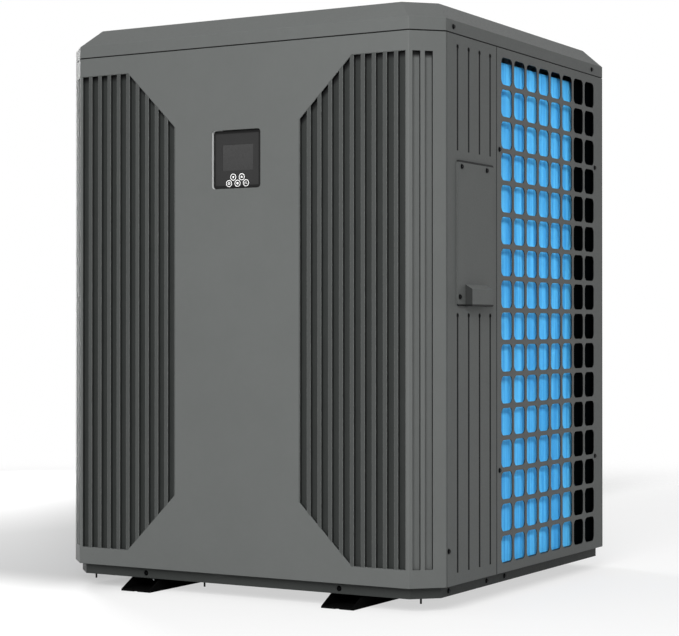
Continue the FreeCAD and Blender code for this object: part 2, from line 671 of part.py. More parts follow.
def rear_grille():
    keep = box(-FAR, FAR, REAR_SEAM + SEAM / 2, FAR, 0, FAR)
    turns = [edge_turn(side, REAR_SEAM, 1) for side in (1, -1)]
    centres = [(i - (REAR_COLUMNS - 1) / 2) * HOLE_PITCH_Y for i in range(REAR_COLUMNS)]
    panel = join([tray_panel(keep)] + turns).cut(grille_holes(centres, ALONG_Y))
    return panel.cut(group(screw_hole((x, HALF_Y, z), ALONG_Y * -1) for x, z in REAR_SCREWS))


def cover_block(inset, x0, x1):
    y0, y1 = COVER_Y[0] + inset, COVER_Y[1] - inset
    z0, z1 = COVER_Z[0] + inset, COVER_Z[1] - inset
    points = [(x0, y0, z0), (x0, y1, z0), (x0, y1, z1), (x0, y0, z1)]
    return Part.Face(rounded_outline(points, 6 - inset)).extrude(ALONG_X * (x1 - x0))


def hood_block(inset, x0):
    """The hood of the wiring cover: sloping top, open at the bottom."""
    x1 = HALF_X + HOOD_PROUD - inset
    z0 = COVER_Z[0] - (1 if inset else 0)
    z1 = COVER_Z[0] + HOOD_HEIGHT - inset
    y0 = HOOD_Y[0] + inset
    points = [(x0, y0, z0), (x1, y0, z0), (x1, y0, z1 - HOOD_SLOPE), (x0, y0, z1)]
    return prism(points, ALONG_Y * (HOOD_Y[1] - inset - y0))


def wiring_cover():
    back = HALF_X + SEAT
    face = HALF_X + COVER_PROUD
    tray = cover_block(0, back, face)
    hollow = cover_block(COVER_SHEET, back - 1, face - COVER_SHEET)
    bosses = [rod(SCREW_HEAD, (back, y, z), ALONG_X, face - back) for y, z in COVER_SCREWS]
    cover = join([tray.cut(hollow), hood_block(0, face - COVER_SHEET)] + bosses)
    cover = cover.cut(hood_block(COVER_SHEET, back - 1))
    return cover.cut(group(screw_hole((face, y, z), ALONG_X * -1) for y, z in COVER_SCREWS))


# ---- lid, guard and fan ----
def lid_body(inset):
    foot = LID_BOTTOM - (1 if inset else 0)
    band_top = LID_BOTTOM + LID_BAND - inset * 0.4
    top = HEIGHT - inset
    band = casing_prism(inset, foot, band_top)
    lean = LID_BEVEL + inset * 0.6
    upper = casing_outline(lean, lean, CORNER - inset * 0.6, top, FOLD)
    bevel = Part.makeLoft([inset_outline(inset, band_top), upper], True, True)
    return band.fuse(bevel)


def guard_tab_points():
    angles = [math.radians(45 + 90 * i) for i in range(4)]
    radius = THROAT_RADIUS - 10
    return [(radius * math.cos(a), radius * math.sin(a)) for a in angles]


GUARD_TAB_TOP = HEIGHT - GUARD_DROP - GUARD_RING_WIRE - GUARD_SPOKE_WIRE


def top_lid():
    shell = lid_body(0).cut(lid_body(SHEET))
    turn = casing_ring(SHEET / 2, TURN_IN, LID_BOTTOM, LID_BOTTOM + SHEET)
    throat = rod(THROAT_RADIUS + SHEET, (0, 0, DECK_TOP + SEAT), UP, HEIGHT - SHEET / 2 - DECK_TOP - SEAT)
    inside = rod(THROAT_RADIUS, (0, 0, 0), UP, FAR)
    lid = join([shell, turn, throat]).cut(inside)
    tabs = []
    for x, y in guard_tab_points():
        tab = box(-10, 12, -8, 8, GUARD_TAB_TOP - SHEET, GUARD_TAB_TOP)
        tab.rotate(Vector(0, 0, 0), UP, math.degrees(math.atan2(y, x)))
        tab.translate(Vector(x, y, 0))
        tabs.append(tab.common(rod(THROAT_RADIUS + SHEET / 2, (0, 0, 0), UP, FAR)))
    lid = join([lid] + tabs)
    holes = [screw_hole((x, y, GUARD_TAB_TOP), UP * -1) for x, y in guard_tab_points()]
    return lid.cut(group(holes)).cut(lid_screw_holes())


def lid_screws():
    made = [screw(p, ALONG_X * (-1 if p[0] > 0 else 1)) for p in lid_screw_points()]
    top = GUARD_TAB_TOP + SEAT + 2
    made += [screw((x, y, top), UP * -1, 8) for x, y in guard_tab_points()]
    return group(made)


def fan_guard():
    ring_z = HEIGHT - GUARD_DROP - GUARD_RING_WIRE / 2
    spoke_z = ring_z - (GUARD_RING_WIRE + GUARD_SPOKE_WIRE) / 2 + 0.3
    outer = THROAT_RADIUS - 2 - GUARD_RING_WIRE / 2
    step = (outer - GUARD_HUB) / GUARD_RINGS
    made = [rod(GUARD_HUB, (0, 0, spoke_z - 1.5), UP, 4)]
    made += [Part.makeTorus(GUARD_HUB + step * (i + 1), GUARD_RING_WIRE / 2, Vector(0, 0, ring_z))
             for i in range(GUARD_RINGS)]
    for i in range(GUARD_SPOKES):
        a = math.radians(360 * i / GUARD_SPOKES)
        way = Vector(math.cos(a), math.sin(a), 0)
        start = way * (GUARD_HUB - 8) + UP * spoke_z
        made.append(Part.makeCylinder(GUARD_SPOKE_WIRE / 2, outer - GUARD_HUB + 8, start, way))
    holes = []
    for x, y in guard_tab_points():
        eye = box(-10, 8, -7, 7, GUARD_TAB_TOP + SEAT, GUARD_TAB_TOP + SEAT + 2)
        eye.rotate(Vector(0, 0, 0), UP, math.degrees(math.atan2(y, x)))
        eye.translate(Vector(x, y, 0))
        made.append(eye.common(rod(THROAT_RADIUS - SEAT, (0, 0, 0), UP, FAR)))
        holes.append(rod(SCREW_HEAD + 0.4, (x, y, GUARD_TAB_TOP + SEAT + 2), UP, 3 + SCREW_HEAD_HEIGHT))
        holes.append(rod(SCREW_HOLE, (x, y, 0), UP, FAR))
    return join(made).cut(group(holes))


def fan_deck():
    plate = casing_prism(POST_INSET + SHEET + SEAT, DECK_BOTTOM, DECK_TOP)
    ring = rod(SHROUD_RADIUS + SHEET, (0, 0, SHROUD_BOTTOM), UP, SHROUD_DEPTH)
    flange = rod(SHROUD_RADIUS + SHROUD_FLANGE, (0, 0, SHROUD_BOTTOM), UP, SHEET)
    return join([plate, ring, flange]).cut(rod(SHROUD_RADIUS, (0, 0, 0), UP, FAR))


def motor_bolt_points():
    reach = MOTOR_PLATE / 2 - 15
    return [(x, y) for x in (-reach, reach) for y in (-reach, reach)]


def motor_bracket():
    length = SHROUD_RADIUS + SHROUD_FLANGE - 8
    bars = []
    for way in (1, -1):
        y = way * BAR_SPACING / 2
        outer = box(-length, length, y - BAR_WIDTH / 2, y + BAR_WIDTH / 2, BAR_TOP - BAR_HEIGHT, BAR_TOP)
        inner = box(-FAR, FAR, y - BAR_WIDTH / 2 + POST_SHEET, y + BAR_WIDTH / 2 - POST_SHEET,
                    0, BAR_TOP - POST_SHEET)
        bars.append(outer.cut(inner))
    return group(bars).cut(group(rod(3.4, (x, y, 0), UP, FAR) for x, y in motor_bolt_points()))


def fan_motor():
    half = MOTOR_PLATE / 2
    plate = box(-half, half, -half, half, MOTOR_TOP - 3, MOTOR_TOP)
    can = rod(MOTOR_RADIUS, (0, 0, MOTOR_TOP - MOTOR_HEIGHT), UP, MOTOR_HEIGHT)
    boss = rod(18, (0, 0, MOTOR_TOP), UP, 7)
    bore = rod(SHAFT_RADIUS + FIT, (0, 0, MOTOR_TOP - 60), UP, FAR)
    motor = join([plate, can, boss]).cut(bore)
    return motor.cut(group(rod(3.4, (x, y, MOTOR_TOP - 10), UP, 20) for x, y in motor_bolt_points()))


def motor_bolts():
    grip = BAR_HEIGHT + SEAT + 3
    return group(bolt((x, y, BAR_TOP), UP * -1, grip, 3, 10) for x, y in motor_bolt_points())


HUB_BOTTOM = BAR_TOP + 6
HUB_TOP = HUB_BOTTOM + FAN_HUB_HEIGHT


def motor_shaft():
    shaft = rod(SHAFT_RADIUS, (0, 0, MOTOR_TOP - 59), UP, HUB_TOP + 10 - MOTOR_TOP + 59)
    collar = rod(SHAFT_RADIUS + 4, (0, 0, HUB_BOTTOM - 5), UP, 5 - FIT)
    return shaft.fuse(collar).removeSplitter()


def blade_section(radius, chord, pitch, camber):
    """Closed curved section of a blade at one radius, facing along X."""
    half = chord / 2
    lean = math.radians(pitch)
    middle_z = (HUB_BOTTOM + HUB_TOP) / 2

    def at(along, lift):
        y = along * math.cos(lean) - lift * math.sin(lean)
        z = along * math.sin(lean) + lift * math.cos(lean)
        return Vector(radius, y, middle_z + z)

    thin = BLADE_THICKNESS / 2
    upper = Part.Arc(at(-half, thin * 0.4), at(0, camber + thin), at(half, thin * 0.4)).toShape()
    lower = Part.Arc(at(half, -thin * 0.4), at(0, camber - thin), at(-half, -thin * 0.4)).toShape()
    nose = Part.LineSegment(at(half, thin * 0.4), at(half, -thin * 0.4)).toShape()
    tail = Part.LineSegment(at(-half, -thin * 0.4), at(-half, thin * 0.4)).toShape()
    return Part.Wire([upper, nose, lower, tail])


def fan():
    hub = rod(FAN_HUB_RADIUS, (0, 0, HUB_BOTTOM), UP, FAN_HUB_HEIGHT)
    hollow = tube(FAN_HUB_RADIUS - 4, 16, (0, 0, HUB_BOTTOM), UP, FAN_HUB_HEIGHT - 5)
    sections = [
        blade_section(FAN_HUB_RADIUS - 2, 84, 32, 6),
        blade_section((FAN_HUB_RADIUS + FAN_RADIUS) / 2, 138, 22, 9),
        blade_section(FAN_RADIUS - 3, 176, 15, 8),
    ]
    blade = Part.makeLoft(sections, True, False)
    blade = blade.common(rod(FAN_RADIUS, (0, 0, 0), UP, FAR))
    blades = []
    for i in range(FAN_BLADES):
        turned = blade.copy()
        turned.rotate(Vector(0, 0, 0), UP, 360 * i / FAN_BLADES)
        blades.append(turned)
    body = join([hub.cut(hollow)] + blades)
    return body.cut(rod(SHAFT_RADIUS + FIT, (0, 0, 0), UP, FAR))


def fan_nut():
    return tube(11, SHAFT_RADIUS + FIT, (0, 0, HUB_TOP + FIT), UP, 8)


# ---- controller ----
HOUSING_FACE = HOUSING_SUNK - HALF_Y
HOUSING_BACK = HOUSING_FACE + HOUSING_DEPTH
BOARD_FACE = HOUSING_FACE + HOUSING_WALL + 5


def window_block(grow, y0, y1):
    x = WINDOW_WIDTH / 2 + grow
    z = WINDOW_HEIGHT / 2 + grow
    middle = SCREEN_Z + WINDOW_ABOVE
    return box(-x, x, y0, y1, middle - z, middle + z)


def button_centre(column, row):
    return (column * BUTTON_PITCH, SCREEN_Z - BUTTON_ROW_BELOW + row * BUTTON_ROW_STEP)


def board_posts():
    reach = HOUSING_WIDTH / 2 - 9
    return [(k * reach, SCREEN_Z + m * reach) for k in (-1, 1) for m in (-1, 1)]


def display_housing():
    shell = screen_block(HOUSING_GAP, HOUSING_FACE, HOUSING_BACK)
    inner = screen_block(HOUSING_GAP + HOUSING_SIDE, HOUSING_FACE + HOUSING_WALL, HOUSING_BACK + 1)
    root = HOUSING_FACE + HOUSING_WALL - 1
    posts = [rod(3, (x, root, z), ALONG_Y, BOARD_FACE - FIT - root) for x, z in board_posts()]
    housing = join([shell.cut(inner)] + posts).cut(window_block(0, -FAR, FAR))
    holes = [rod(BUTTON_RADIUS + BUTTON_GAP, (x, -FAR, z), ALONG_Y, FAR)
             for x, z in (button_centre(*place) for place in BUTTONS.values())]
    return housing.cut(group(holes))


def display_window():
    pane = window_block(-FIT, HOUSING_FACE + 0.4, HOUSING_FACE + HOUSING_WALL + FIT)
    flange = window_block(1.5, HOUSING_FACE + HOUSING_WALL + FIT, HOUSING_FACE + HOUSING_WALL + 3)
    return pane.fuse(flange).removeSplitter()


def controller_board():
    half = HOUSING_WIDTH / 2 - HOUSING_GAP - HOUSING_WALL - 0.5
    board = box(-half, half, BOARD_FACE, BOARD_FACE + 1.6, SCREEN_Z - half, SCREEN_Z + half)
    plug = box(-14, 14, BOARD_FACE + 1.6, BOARD_FACE + 9, SCREEN_Z - 30, SCREEN_Z - 20)
    chip = box(-8, 8, BOARD_FACE + 1.6, BOARD_FACE + 3.4, SCREEN_Z, SCREEN_Z + 16)
    return join([board, plug, chip])


def button(place):
    x, z = button_centre(*place)
    back = HOUSING_FACE + HOUSING_WALL + FIT * 2
    face = HOUSING_FACE - BUTTON_PROUD
    cap = rod(BUTTON_RADIUS, (x, face, z), ALONG_Y, back - face)
    flange = rod(BUTTON_RADIUS + 0.5, (x, back, z), ALONG_Y, 1)
    stem = rod(2.5, (x, back, z), ALONG_Y, BOARD_FACE - back - BUTTON_TRAVEL - SEAT)
    return join([cap, flange, stem])


# ---- evaporator ----
def coil_wire(z):
    """Plan outline of the U-shaped coil, open towards the front."""
    outer = HALF_X - COIL_INSET
    back = HALF_Y - COIL_INSET
    inner = outer - COIL_THICKNESS
    inner_back = back - COIL_THICKNESS

    def half_u(x, y, radius):
        centre = Vector(x - radius, y - radius, z)
        middle = centre + Vector(1, 1, 0).normalize() * radius
        return Vector(x, y - radius, z), middle, Vector(x - radius, y, z)

    a, b, c = half_u(outer, back, COIL_BEND)
    d, e, f = half_u(inner, inner_back, COIL_BEND - COIL_THICKNESS)

    def flip(p):
        return Vector(-p.x, p.y, p.z)

    front = Vector(0, COIL_FRONT, z)
    o, i = front + ALONG_X * outer, front + ALONG_X * inner
    return Part.Wire([
        Part.LineSegment(o, a).toShape(), Part.Arc(a, b, c).toShape(),
        Part.LineSegment(c, flip(c)).toShape(), Part.Arc(flip(c), flip(b), flip(a)).toShape(),
        Part.LineSegment(flip(a), flip(o)).toShape(), Part.LineSegment(flip(o), flip(i)).toShape(),
        Part.LineSegment(flip(i), flip(d)).toShape(), Part.Arc(flip(d), flip(e), flip(f)).toShape(),
        Part.LineSegment(flip(f), f).toShape(), Part.Arc(f, e, d).toShape(),
        Part.LineSegment(d, i).toShape(), Part.LineSegment(i, o).toShape(),
    ])


def evaporator():
    return Part.Face(coil_wire(COIL_BOTTOM)).extrude(UP * (COIL_TOP - COIL_BOTTOM))


def coil_end_plates():
    x = HALF_X - COIL_INSET - COIL_THICKNESS
    plate = box(x, x + COIL_THICKNESS, COIL_FRONT - SEAT - SHEET, COIL_FRONT - SEAT, COIL_BOTTOM, COIL_TOP)
    return group([plate, mirror_x(plate)])


def return_bends():
    """Half-round tube ends that join the coil's tubes in pairs, outside the end plates."""
    x = HALF_X - COIL_INSET - COIL_THICKNESS / 2
    y = COIL_FRONT - 2 * SEAT - SHEET
    bends = []
    for i in range(COIL_BENDS):
        z = COIL_BOTTOM + COIL_TUBE_PITCH * (1.5 + 2 * i)
        ring = Part.makeTorus(COIL_TUBE_PITCH / 2, COIL_TUBE, Vector(x, y, z), ALONG_X)
        half = ring.common(box(x - 40, x + 40, y - 40, y, z - 40, z + 40))
        bends += [half, mirror_x(half)]
    return group(bends)


def partition():
    """Upright plate and shelf that close the air chamber off from the front compartment."""
    reach = HALF_X - COIL_INSET - COIL_THICKNESS - 1
    wall = box(-reach, reach, PARTITION_Y, PARTITION_Y + SHEET, PAN_FLOOR + SEAT, PARTITION_TOP)
    shelf = box(-reach, reach, RECESS_DEPTH + SHEET + 6 - HALF_Y, PARTITION_Y + SHEET,
                PARTITION_TOP - SHEET, PARTITION_TOP)
    return join([wall, shelf])


# ---- compressor ----
COMPRESSOR_PLATE = 4.0
SHELL_BOTTOM = COMPRESSOR_BASE + COMPRESSOR_PLATE
SHELL_TOP = SHELL_BOTTOM + COMPRESSOR_HEIGHT


def compressor():
    x, y = COMPRESSOR_AT
    shell = rod(COMPRESSOR_RADIUS, (x, y, COMPRESSOR_BASE), UP, COMPRESSOR_HEIGHT - 20)
    dome = Part.makeCone(COMPRESSOR_RADIUS, COMPRESSOR_RADIUS - 26, 24,
                         Vector(x, y, COMPRESSOR_BASE + COMPRESSOR_HEIGHT - 20), UP)
    lugs = []
    for bx, by in COMPRESSOR_BOLTS:
        lug = box(0, COMPRESSOR_BOLT_CIRCLE + 14, -18, 18, COMPRESSOR_BASE, SHELL_BOTTOM)
        lug.rotate(Vector(0, 0, 0), UP, math.degrees(math.atan2(by - y, bx - x)))
        lug.translate(Vector(x, y, 0))
        lugs.append(lug)
    body = join([shell, dome] + lugs)
    return body.cut(group(rod(5, (bx, by, 0), UP, 90) for bx, by in COMPRESSOR_BOLTS))


def compressor_feet():
    """Rubber mounts between the pan and the compressor's base plate."""
    z0 = PAN_FLOOR + SEAT
    return group(tube(13, 5, (bx, by, z0), UP, COMPRESSOR_BASE - SEAT - z0) for bx, by in COMPRESSOR_BOLTS)


def base_bolts():
    """The identical bolts that hold the rails and the compressor to the pan, each with its nut."""
    grip = SHEET + SEAT + RAIL_SHEET
    rails = [bolt((x, y, PAN_FLOOR), UP * -1, grip, 4, 13)
             for side in (-1, 1) for x, y in rail_bolt_points(side)]
    mounts = [bolt((x, y, SHELL_BOTTOM), UP * -1, SHELL_BOTTOM - FOOT_HEIGHT, 4, 13)
              for x, y in COMPRESSOR_BOLTS]
    return group(rails + mounts)


def terminal_cover():
    x, y = COMPRESSOR_AT
    z = COMPRESSOR_BASE + 170
    block = box(x - 30, x + 30, y - COMPRESSOR_RADIUS - 22, y, z, z + 70)
    return block.cut(rod(COMPRESSOR_RADIUS + SEAT, (x, y, 0), UP, FAR))


def accumulator():
    x, y = ACCUMULATOR_AT
    z = COMPRESSOR_BASE + 60
    body = rod(ACCUMULATOR_RADIUS, (x, y, z), UP, ACCUMULATOR_HEIGHT)
    caps = [Part.makeCone(ACCUMULATOR_RADIUS, 12, 14, Vector(x, y, z + ACCUMULATOR_HEIGHT), UP),
            Part.makeCone(ACCUMULATOR_RADIUS, 12, 14, Vector(x, y, z), UP * -1)]
    strap_x = COMPRESSOR_AT[0] + COMPRESSOR_RADIUS + SEAT
    strap = box(strap_x - 20, x, y - 12, y + 12, z + 80, z + 110)
    strap = strap.cut(rod(COMPRESSOR_RADIUS + SEAT, (*COMPRESSOR_AT, 0), UP, FAR))
    return join([body, strap] + caps)


VALVE_Z = COMPRESSOR_BASE + COMPRESSOR_HEIGHT + 86
VALVE_Y = PARTITION_Y - 94
VALVE_HALF = 48.0


def four_way_valve():
    x = COMPRESSOR_AT[0]
    body = rod(14, (x - VALVE_HALF, VALVE_Y, VALVE_Z), ALONG_X, 2 * VALVE_HALF)
    pilot = rod(9, (x - 22, VALVE_Y - 30, VALVE_Z), ALONG_X, 44)
    bridge = box(x - 6, x + 6, VALVE_Y - 30, VALVE_Y, VALVE_Z - 4, VALVE_Z + 4)
    stubs = [rod(PIPE_RADIUS + 2, (x, VALVE_Y, VALVE_Z - 28), UP, 28)]
    stubs += [rod(PIPE_RADIUS + 2, (x + k * 26, VALVE_Y, VALVE_Z), UP, 28) for k in (-1, 0, 1)]
    return join([body, pilot, bridge] + stubs)


EXPANSION_AT = (60.0, PARTITION_Y - 21, VALVE_Z + 70)


def expansion_valve():
    x, y, z = EXPANSION_AT
    return join([rod(12, (x, y, z), UP, 40), rod(17, (x, y, z + 40), UP, 22)])


COIL_PORTS_Z = [COIL_BOTTOM + COIL_TUBE_PITCH * (2.5 + 2 * i) for i in (6, 4)]
HOT_Z = VALVE_Z + 28 + 60
LIQUID_Z = VALVE_Z - 50
RISER_X = HALF_X - 150
FEED_X = RISER_X - 40
COIL_RUN_Y = PARTITION_Y - 16
STUB_FACE = EXCHANGER_AT[0] + EXCHANGER_RADIUS + 4


def refrigerant_pipes():
    """Discharge, suction, hot gas, coil, liquid and feed pipes, each between two fittings."""
    x = COMPRESSOR_AT[0]
    top = VALVE_Z + 28 + FIT
    ex, ey, ez = EXPANSION_AT
    ax, ay = ACCUMULATOR_AT
    tank_top = COMPRESSOR_BASE + 60 + ACCUMULATOR_HEIGHT + 14 + FIT
    shell_top = COMPRESSOR_BASE + COMPRESSOR_HEIGHT + 4 + FIT
    coil_x = HALF_X - COIL_INSET - COIL_THICKNESS / 2
    coil_y = COIL_FRONT - SEAT - SHEET - FIT
    high, low = COIL_PORTS_Z
    runs = [
        [(x, VALVE_Y, shell_top), (x, VALVE_Y, VALVE_Z - 28 - FIT)],
        [(x + 26, VALVE_Y, top), (x + 26, VALVE_Y, HOT_Z), (ax, VALVE_Y, HOT_Z),
         (ax, VALVE_Y, tank_top + 40), (ax, ay, tank_top + 40), (ax, ay, tank_top)],
        [(x - 26, VALVE_Y, top), (x - 26, VALVE_Y, HOT_Z), (STUB_FACE + FIT, VALVE_Y, HOT_Z)],
        [(x, VALVE_Y, top), (x, VALVE_Y, HOT_Z + 40), (RISER_X, VALVE_Y, HOT_Z + 40),
         (RISER_X, VALVE_Y, high), (RISER_X, COIL_RUN_Y, high), (coil_x, COIL_RUN_Y, high),
         (coil_x, coil_y, high)],
        [(STUB_FACE + FIT, ey, LIQUID_Z), (ex, ey, LIQUID_Z), (ex, ey, ez - FIT)],
        [(ex + 12 + FIT, ey, ez + 20), (FEED_X, ey, ez + 20), (FEED_X, ey, low),
         (coil_x, ey, low), (coil_x, coil_y, low)],
    ]
    return group(pipe(run, PIPE_RADIUS, PIPE_BEND) for run in runs)


# ---- water side ----
PORT_FACE = -HALF_X + 32.0


def heat_exchanger():
    x, y = EXCHANGER_AT
    body = rod(EXCHANGER_RADIUS, (x, y, PAN_FLOOR + SEAT), UP, EXCHANGER_HEIGHT)
    cap = rod(EXCHANGER_RADIUS + 5, (x, y, PAN_FLOOR + SEAT + EXCHANGER_HEIGHT - 60), UP, 62)
    ports = [rod(UNION_RING, (PORT_FACE, UNION_Y, z), ALONG_X, x - PORT_FACE)
             for z in UNION_Z.values()]
    bores = [rod(UNION_PIPE_RADIUS - 4, (PORT_FACE - 1, UNION_Y, z), ALONG_X, 60)
             for z in UNION_Z.values()]
    stubs = [rod(PIPE_RADIUS + 2, (x, *place), ALONG_X, STUB_FACE - x)
             for place in ((VALVE_Y, HOT_Z), (EXPANSION_AT[1], LIQUID_Z))]
    pocket = rod(7 + FIT, (FLOW_SWITCH_X, UNION_Y, UNION_Z["outlet"]), UP, 60)
    return join([body, cap] + ports + stubs).cut(group(bores + [pocket]))


FLOW_SWITCH_X = PORT_FACE + 12.0


def flow_switch():
    z = UNION_Z["outlet"] + UNION_RING
    stem = rod(7, (FLOW_SWITCH_X, UNION_Y, z - 8), UP, 14)
    return stem.fuse(box(FLOW_SWITCH_X - 11, FLOW_SWITCH_X + 11, UNION_Y - 18, UNION_Y + 18, z + 2, z + 46))


UNION_MOUTH = -HALF_X - UNION_REACH
UNION_SPLIT = UNION_MOUTH + UNION_NUT_LENGTH - 4


def union(z):
    """Threaded body that passes the water panel, and the pipe socket that the nut holds to it."""
    ring = UNION_RING
    body = rod(ring, (UNION_SPLIT + FIT, UNION_Y, z), ALONG_X, PORT_FACE - FIT - UNION_SPLIT - FIT)
    body = body.cut(rod(UNION_PIPE_RADIUS - 4, (-FAR, UNION_Y, z), ALONG_X, FAR))
    socket = rod(ring, (UNION_MOUTH, UNION_Y, z), ALONG_X, UNION_SPLIT - UNION_MOUTH)
    collar = rod(ring + 5, (UNION_SPLIT - 5, UNION_Y, z), ALONG_X, 5)
    socket = join([socket, collar]).cut(rod(UNION_PIPE_RADIUS - 4, (-FAR, UNION_Y, z), ALONG_X, FAR))
    mouth = rod(UNION_PIPE_RADIUS + SOCKET_GAP, (UNION_MOUTH - 1, UNION_Y, z), ALONG_X, SOCKET_DEPTH + 1)
    return group([body, socket.cut(mouth)])


def union_nut(z):
    """Hand nut with grip ribs. It turns on the body and pulls the socket's collar against it."""
    start = UNION_MOUTH + 6
    nut = rod(UNION_NUT_RADIUS - 3, (start, UNION_Y, z), ALONG_X, UNION_NUT_LENGTH)
    ribs = []
    for i in range(12):
        across = (UNION_NUT_RADIUS - 4) * math.cos(math.radians(30 * i))
        rise = (UNION_NUT_RADIUS - 4) * math.sin(math.radians(30 * i))
        ribs.append(rod(4, (start, UNION_Y + across, z + rise), ALONG_X, UNION_NUT_LENGTH))
    hole = rod(UNION_RING + SEAT, (-FAR, UNION_Y, z), ALONG_X, 2 * FAR)
    room = rod(UNION_RING + 5 + SEAT, (UNION_SPLIT - 5 - SEAT, UNION_Y, z), ALONG_X, 12)
    return join([nut] + ribs).cut(hole).cut(room)


# ---- electrics ----
BOX_Y = (FRONT_POST_Y + FRONT_POST_WIDTH + SEAT, SIDE_SEAM - MIDDLE_POST_HALF - SEAT)
BOX_Z = (COVER_Z[0] + 43, COVER_Z[1] + 58)
BOX_DEEP = 70.0
BOX_FACE = HALF_X - POST_INSET - POST_SHEET - SEAT
GLAND_AT = (BOX_FACE - 16.0, (HOOD_Y[0] + HOOD_Y[1]) / 2)
GLAND_BORE = 6.5
GLAND_RADIUS = 10.0


def electric_box():
    """Tray between the legs of the front and middle posts, open towards the service panel."""
    x1 = BOX_FACE
    y0, y1 = BOX_Y
    tray = box(x1 - BOX_DEEP, x1, y0, y1, *BOX_Z)
    hollow = box(x1 - BOX_DEEP + SHEET, x1 + 1, y0 + SHEET, y1 - SHEET, BOX_Z[0] + SHEET, BOX_Z[1] - SHEET)
    return tray.cut(hollow).cut(rod(GLAND_RADIUS + FIT, (*GLAND_AT, BOX_Z[0] - 5), UP, 10))


def control_board():
    x = BOX_FACE - BOX_DEEP + SHEET
    y0 = BOX_Y[0] + 7
    y1 = BOX_Y[1] - 8
    z0 = BOX_Z[0] + 80
    z1 = BOX_Z[1] - 15
    board = box(x + 6, x + 7.6, y0, y1, z0, z1)
    feet = [rod(3, (x + FIT, y, z), ALONG_X, 6 - FIT) for y in (y0 + 8, y1 - 8)
            for z in (z0 + 10, z1 - 10)]
    parts = [box(x + 7.6, x + 32, y0 + 12, y0 + 40, z1 - 65, z1 - 25),
             box(x + 7.6, x + 28, y1 - 50, y1 - 16, z1 - 75, z1 - 35),
             rod(14, (x + 7.6, (y0 + y1) / 2, z0 + 40), ALONG_X, 34)]
    return join([board] + feet + parts)


def terminal_block():
    x = BOX_FACE - BOX_DEEP + SHEET + FIT
    y0 = BOX_Y[0] + 9
    z = BOX_Z[0] + 25
    base = box(x, x + 22, y0, y0 + 90, z, z + 30)
    slots = [box(x + 12, x + 30, y0 + 6 + 14 * i, y0 + 14 + 14 * i, z - 7, z + 20) for i in range(6)]
    return base.cut(group(slots))


def cable_gland():
    z = BOX_Z[0]
    body = rod(GLAND_RADIUS, (*GLAND_AT, z - 14), UP, 14 + SHEET + 8)
    collar = rod(GLAND_RADIUS + 4, (*GLAND_AT, z - 6 - FIT), UP, 6)
    nut = rod(GLAND_RADIUS + 4, (*GLAND_AT, z + SHEET + FIT), UP, 4)
    return join([body, collar, nut]).cut(rod(GLAND_BORE, (*GLAND_AT, z - 30), UP, 80))


# ---- the whole unit ----
def build():
    nodes = {
        "base_pan": base_pan(),
        "foot_rail_left": foot_rail(-1),
        "foot_rail_right": foot_rail(1),
        "base_bolts": base_bolts(),
        "pan_pins": pan_pins(),
        "drain_spigot": drain_spigot(),
        "top_frame": top_frame(),
        "front_panel": front_panel(),
        "service_panel": service_panel(),
        "wiring_cover": wiring_cover(),
        "water_panel": water_panel(),
        "grille_rear": rear_grille(),
        "casing_screws": casing_screws(),
        "top_lid": top_lid(),
        "lid_screws": lid_screws(),
        "fan_guard": fan_guard(),
        "fan_deck": fan_deck(),
        "motor_bracket": motor_bracket(),
        "fan_motor": fan_motor(),
        "motor_bolts": motor_bolts(),
        "motor_shaft": motor_shaft(),
        "fan": fan(),
        "fan_nut": fan_nut(),
        "display_housing": display_housing(),
        "display_window": display_window(),
        "controller_board": controller_board(),
        "evaporator": evaporator(),
        "coil_end_plates": coil_end_plates(),
        "return_bends": return_bends(),
        "partition": partition(),
        "compressor": compressor(),
        "compressor_feet": compressor_feet(),
        "compressor_terminal_cover": terminal_cover(),
        "accumulator": accumulator(),
        "four_way_valve": four_way_valve(),
        "expansion_valve": expansion_valve(),
        "refrigerant_pipes": refrigerant_pipes(),
        "heat_exchanger": heat_exchanger(),
        "flow_switch": flow_switch(),
        "electric_box": electric_box(),
        "control_board": control_board(),
        "terminal_block": terminal_block(),
        "cable_gland": cable_gland(),
    }
    for name, shape in (("post_front", post_front()), ("post_middle", post_middle()),
                        ("post_rear", post_rear()), ("grille", grille_panel())):
        nodes[name + "_right"] = shape
        nodes[name + "_left"] = mirror_x(shape)
    for name, place in BUTTONS.items():
        nodes[name] = button(place)
    for name, z in UNION_Z.items():
        nodes[name + "_union"] = union(z)
        nodes[name + "_union_nut"] = union_nut(z)
    return nodes


def main():
    os.makedirs("parts", exist_ok=True)
    for name, shape in build().items():
        if not shape.isValid():
            raise ValueError(name + " is not a valid shape")
        shape.exportStep("parts/" + name + ".step")


main()
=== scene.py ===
"""Finishes for an upright pool heat pump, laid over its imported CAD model. Metres, +Z up."""

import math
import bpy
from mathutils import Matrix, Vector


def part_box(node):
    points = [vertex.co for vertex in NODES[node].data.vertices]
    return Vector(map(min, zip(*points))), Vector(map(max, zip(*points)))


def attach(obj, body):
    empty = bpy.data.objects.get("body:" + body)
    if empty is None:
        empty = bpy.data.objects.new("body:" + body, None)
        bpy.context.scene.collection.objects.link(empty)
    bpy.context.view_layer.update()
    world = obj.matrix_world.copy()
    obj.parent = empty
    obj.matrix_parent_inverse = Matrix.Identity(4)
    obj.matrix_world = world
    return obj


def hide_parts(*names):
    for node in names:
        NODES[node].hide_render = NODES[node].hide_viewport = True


bl_info = {
    "name": "Pool heat pump finish",
    "version": (1, 0, 0),
    "blender": (4, 5, 0),
    "location": "3D View > Sidebar > Heat pump",
    "description": "Finishes the cabinet, coil, fan and controller of a pool heat pump",
    "category": "Object",
}

import bmesh
import bpy
from bpy.props import FloatProperty, FloatVectorProperty, PointerProperty
from mathutils import Vector

